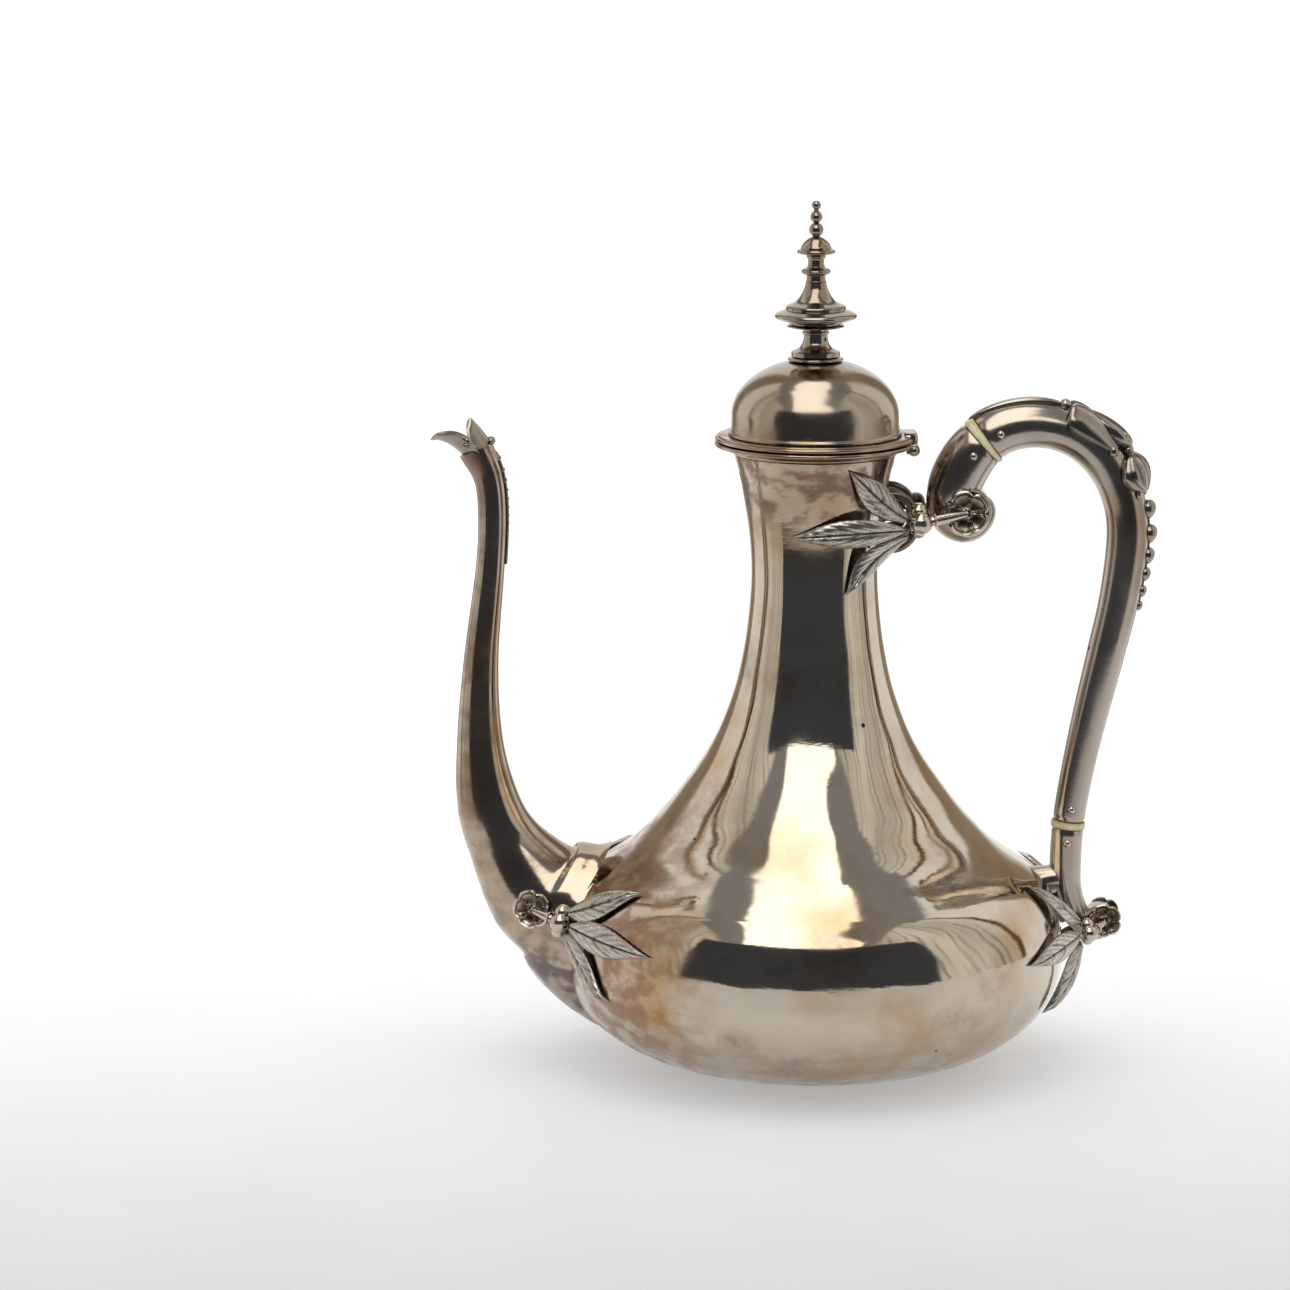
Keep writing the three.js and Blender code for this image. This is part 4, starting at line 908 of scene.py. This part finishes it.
SPRAYS = {
    "handle_top": dict(
        flower=((45.0, -7.3, 167.6), 6.9, 0.0), stem=1.35, loop=(22.5, 165.2, 7.4, 8.2, -9.0),
        berries=[(31.2, -12.6, 165.2, 3.5), (30.6, -10.2, 168.2, 2.9), (30.6, -9.8, 162.6, 2.4)],
        leaves={"upper": ((27.9, -11.9, 166.9), (9.2, 182.6), 9.0), "middle": ((27.4, -13.2, 164.9), (-7.5, 162.2), 9.2),
                "lower": ((27.7, -11.9, 163.0), (8.5, 144.3), 8.6)}),
    "handle_foot": dict(
        flower=((88.2, -3.9, 42.4), 5.2, 0.0), stem=1.0,
        berries=[(83.2, -10.6, 39.8, 2.6), (82.5, -8.8, 42, 2.2), (82.6, -8.8, 37.8, 1.9)],
        leaves={"upper": ((80.2, -10, 41.8), (62.6, 57), 6.6, 0.5), "middle": ((80, -11.2, 39.6), (62.4, 37.5), 7.8, 0.4),
                "lower": ((80.4, -10.2, 37.4), (67.2, 19), 6.2, 1.3)}),
    "spout_foot": dict(
        flower=((-84.3, -16.9, 49), 6.0, -0.42), stem=1.1,
        berries=[(-76.2, -23.2, 46.2, 3.1), (-75.4, -22, 49.0, 2.5), (-76.6, -22, 43.4, 2.2)],
        leaves={"upper": ((-73.8, -24, 47.6), (-51.4, 58.6), 7.8), "middle": ((-73.4, -25.2, 45.2), (-49, 43.6), 9.0),
                "lower": ((-74.4, -24, 43.2), (-61.4, 26.2), 7.8)}),
}
for place, spray in SPRAYS.items():
    made = {"flower": ([flower(*spray["flower"])], BERRY_SILVER),
            "berries": (berries(spray["flower"][0], spray["berries"], spray["stem"]), BERRY_SILVER)}
    if "loop" in spray:
        x, z, across, high, depth = spray["loop"]
        bend = np.radians(np.linspace(-105, 105, 15))
        wire = limb([(x + across * math.cos(a), z + high * math.sin(a), 1.35) for a in bend])
        reach = np.linspace(0.3, wire[0][-1] - 0.3, 60)
        grid = drawn(wire, [(0, -1.3), *[(d, 0) for d in reach], (wire[0][-1], -1.3)], 18)
        # The loop behind the berries is darkened all over as painted shade.
        made["berries"][0].append(closed(grid + [0, depth, 0], dark=np.full((1, 1), 0.7)))
    for level, blade in spray["leaves"].items():
        made["leaf_" + level] = ([leaf(*blade)], LEAF_SILVER)
    for kind, (parts, material) in made.items():
        piece(f"{place}_front_{kind}", parts, material)
        piece(f"{place}_back_{kind}", [mirrored(part) for part in parts], material)
print("sprays:", len(SPRAYS) * 2, "of five pieces each")

# %% [markdown]
# ## The hinge
# The hinge is a row of three knuckles on one pin, level with the rims and behind the lid. The outer
# two belong to the mouth rim's leaf and the middle one to the lid's, so each rides on its own body.

# %% Hinge
KNUCKLE, LID_KNUCKLE, PIN_RADIUS = 1.8, 2.3, 0.8


def knuckle(low, high):
    """A tube along Y with softly rounded ends and a bore for the pin."""
    outline = [(0.0, 1.0), (0.0, KNUCKLE - 0.35), (0.15, KNUCKLE - 0.1), (0.4, KNUCKLE)]
    far = [(high - low - d, r) for d, r in outline[::-1]]
    return closed(spun((HINGE_X, low, HINGE_Z), (HINGE_X, high, HINGE_Z), outline + far, 32), wrap_rows=True)


outer_knuckles = [knuckle(-HINGE_HALF, -LID_KNUCKLE - 0.3), knuckle(LID_KNUCKLE + 0.3, HINGE_HALF)]
webs = [closed(slab((27, low, 185), (28.6, high, 186.8))) for low, high in ((-7, -2.6), (2.6, 7))]
piece("body_hinge_leaf", outer_knuckles + webs, TUBE_SILVER)

lid_plate = closed(slab((26.5, -4.6, 190.3), (29.9, 4.6, 191.2), 0.3))
lid_arm = closed(ball((29.5, 0, 188.6), 1, (1.25, 2.2, 2.7)))
piece("lid_hinge_leaf", [lid_plate, lid_arm, knuckle(-LID_KNUCKLE, LID_KNUCKLE)], TUBE_SILVER)

pin_end = HINGE_HALF + 1.0
rivet = [(0, 0), (0.05, 0.7), (0.3, 1.1), (0.65, 1.25), (0.7, PIN_RADIUS)]
rivet += [(2 * pin_end - d, r) for d, r in rivet[::-1]]
piece("hinge_pin", [closed(spun((HINGE_X, -pin_end, HINGE_Z), (HINGE_X, pin_end, HINGE_Z), rivet, 28))], TUBE_SILVER)
frame["nodes"]["finial_nut"].data.materials.clear()
frame["nodes"]["finial_nut"].data.materials.append(TUBE_SILVER)
print("hinge axis at", HINGE_X, HINGE_Z)

# %% [markdown]
# ## The studio
# Silver has almost no look of its own: it shows the room. A white tent stands round the pot, with a
# dark opening in front, a softbox in its roof and cloth that falls in folds at both sides. It is one
# dome that only reflections see, and its light is worked out for each direction, so the floor and the
# background stay plain and white.

# %% Floor and light
scene = bpy.context.scene
scene.view_settings.view_transform = "Standard"
world = bpy.data.worlds.new("white_tent")
scene.world = world
world.use_nodes = True
world.node_tree.nodes["Background"].inputs["Color"].default_value = linear("#FFFFFF")
world.node_tree.nodes["Background"].inputs["Strength"].default_value = 1.0


def stage(name, grid, material, camera=False):
    """A surface that belongs to the studio: the lens sees only the floor, and reflections see it all."""
    rows, columns = grid.shape[:2]
    index = np.arange(rows * columns).reshape(rows, columns)
    faces = np.stack([index[:-1, :-1], index[:-1, 1:], index[1:, 1:], index[1:, :-1]], -1).reshape(-1, 4)
    mesh = bpy.data.meshes.new(name)
    mesh.from_pydata(grid.reshape(-1, 3).tolist(), [], faces.tolist())
    mesh.materials.append(material)
    made = bpy.data.objects.new(name, mesh)
    scene.collection.objects.link(made)
    made.visible_camera = made.visible_diffuse = made.visible_shadow = camera
    return made


def step(value, edge, soft=1.2):
    """0 below an edge and 1 above it, over `soft` degrees."""
    return np.clip((value - edge) / soft + 0.5, 0, 1)


def between(value, low, high, soft=1.2):
    """1 between two edges."""
    return step(value, low, soft) * (1 - step(value, high, soft))


EAVES = 38.0


def tent_light(azimuth, height):
    """
    The light of the tent in one direction, in degrees: azimuth 0 is toward the lens and grows to the
    right, height is above the horizon. Cloth with folds, then the dark opening, the grey roof over it,
    the softbox in the roof, and a gap in the cloth at each side.
    """
    side, tilt = np.abs(azimuth), np.radians(height)
    sideways = np.sin(np.radians(azimuth)) * np.cos(tilt)
    folds = (azimuth + 9 * np.sin(np.radians(height * 2.3)) + 5 * np.sin(np.radians(height * 4 + azimuth))) / 5.2
    crease = bell(folds - np.round(folds), 0.17) * (0.5 + 0.4 * np.sin(azimuth * 0.37))
    wide = 0.5 + 0.5 * np.sin(np.radians(azimuth * 9 + height * 2))
    cloth = (0.9 - 0.2 * wide - crease * 0.55)[..., None] * np.array([1.0, 0.97, 0.9])
    gap = between(side, 101, 105)[..., None]
    light = cloth * (1 - gap) + gap * np.array([0.16, 0.1, 0.05])
    white = between(side, 105, 136)[..., None]
    light = light * (1 - white) + white * np.array([1.0, 1.0, 1.0])
    rear = step(side, 158, 6)[..., None]
    light = light * (1 - rear) + rear * 1.0
    brown = between(side, 136, 158, 5)[..., None]
    light = light * (1 - brown) + brown * np.array([0.34, 0.27, 0.2])
    front = between(azimuth, -60, 53)[..., None]
    over = np.where(side < 90, height, 180 - height)
    rise = np.clip((over - EAVES) / 50, 0, 1)
    roof = between(over, EAVES, 118) * between(sideways, -0.62 + 0.14 * rise, 0.4 + 0.08 * rise, 0.03)
    light = light * (1 - roof[..., None]) + roof[..., None] * np.array([0.3, 0.3, 0.31])
    below = (1 - step(height, EAVES))[..., None] * front
    light = light * (1 - below) + below * np.array([0.06, 0.066, 0.078])
    bite = 0.12 * bell(over - 64, 15) + 0.03 * np.sin(over / 4)
    lamp = between(over, EAVES, 106) * between(sideways, -0.46 + 0.2 * rise, 0.33 - 0.12 * rise - bite, 0.02)
    light = light * (1 - lamp[..., None]) + lamp[..., None] * np.array([2.3, 2.27, 2.12])
    return light


azimuth, height = np.meshgrid(np.linspace(-180, 180, 541), np.linspace(0, 89.9, 136))
spread = np.clip(height / 25, 0, 1)
reach = (0.42 + 1.1 * spread**2 * (3 - 2 * spread))[..., None]
turn, tilt = np.radians(azimuth), np.radians(height)
dome_grid = reach * np.stack([np.sin(turn) * np.cos(tilt), -np.cos(turn) * np.cos(tilt), np.sin(tilt)], -1)

cloth_paint, tree, _ = start_material("tent_cloth")
shade = tree.nodes.new("ShaderNodeAttribute")
shade.attribute_name = "light"
add(tree, "OutputMaterial", {"Surface": add(tree, "Emission", {"Color": shade.outputs["Color"]})})
tent = stage("tent", dome_grid, cloth_paint)
light = tent.data.color_attributes.new("light", "FLOAT_COLOR", "POINT")
colours = np.concatenate([tent_light(azimuth, height), np.ones((*azimuth.shape, 1))], -1)
light.data.foreach_set("color", colours.astype(np.float32).ravel())

floor_paint, tree, where = start_material("floor_paper")
paper = cloud(tree, where, 60, 3, 0.3, 0.7)
paper_colour = layer(tree, paper, linear("#B5B5B6"), linear("#B1B1B3"))
# Painted light: the floor glows, from 0.17 near the lens to 0.62 far back, which lifts the pot's shadow and fades the
# floor into the white.
far = zone(tree, where, 1, 300, -240)
glow = add(tree, "MapRange", {"Value": far, "To Min": 0.17, "To Max": 0.62})
finish_material(tree, {"Base Color": paper_colour, "Roughness": 0.8, "Emission Color": linear("#FFFFFF"),
                       "Emission Strength": glow}, 0.0)
edge = np.array([-9.0, 9.0])
floor_grid = np.stack([*np.meshgrid(edge, edge), np.zeros((2, 2))], -1)
stage("floor", floor_grid, floor_paint, camera=True)
print("studio: a tent of", len(tent.data.polygons), "faces and a floor")

# %% [markdown]
# ## The camera
# A long lens from about 1.7 m looks down a little, so that the rim is a narrow ellipse. Its height,
# distance and tilt are plain numbers in metres and degrees.

# %% Camera
lens = bpy.data.cameras.new("camera")
lens.sensor_width = 36
lens.lens = 153.5
camera = bpy.data.objects.new("camera", lens)
camera.location = (-0.0507, -1.6226, 0.4299)
camera.rotation_euler = (math.radians(79.4), 0, 0)
scene.collection.objects.link(camera)
scene.camera = camera
lamp = bpy.data.lights.new("overhead", "AREA")
lamp.energy, lamp.size = 3, 0.8
overhead = bpy.data.objects.new("overhead", lamp)
overhead.location = (-0.1, 0.1, 1.1)
overhead.visible_glossy = False
scene.collection.objects.link(overhead)
print("camera at", tuple(round(v, 3) for v in camera.location))

# %% [markdown]
# ## Finish
# The view layer is brought up to date.

# %% Finish
bpy.context.view_layer.update()
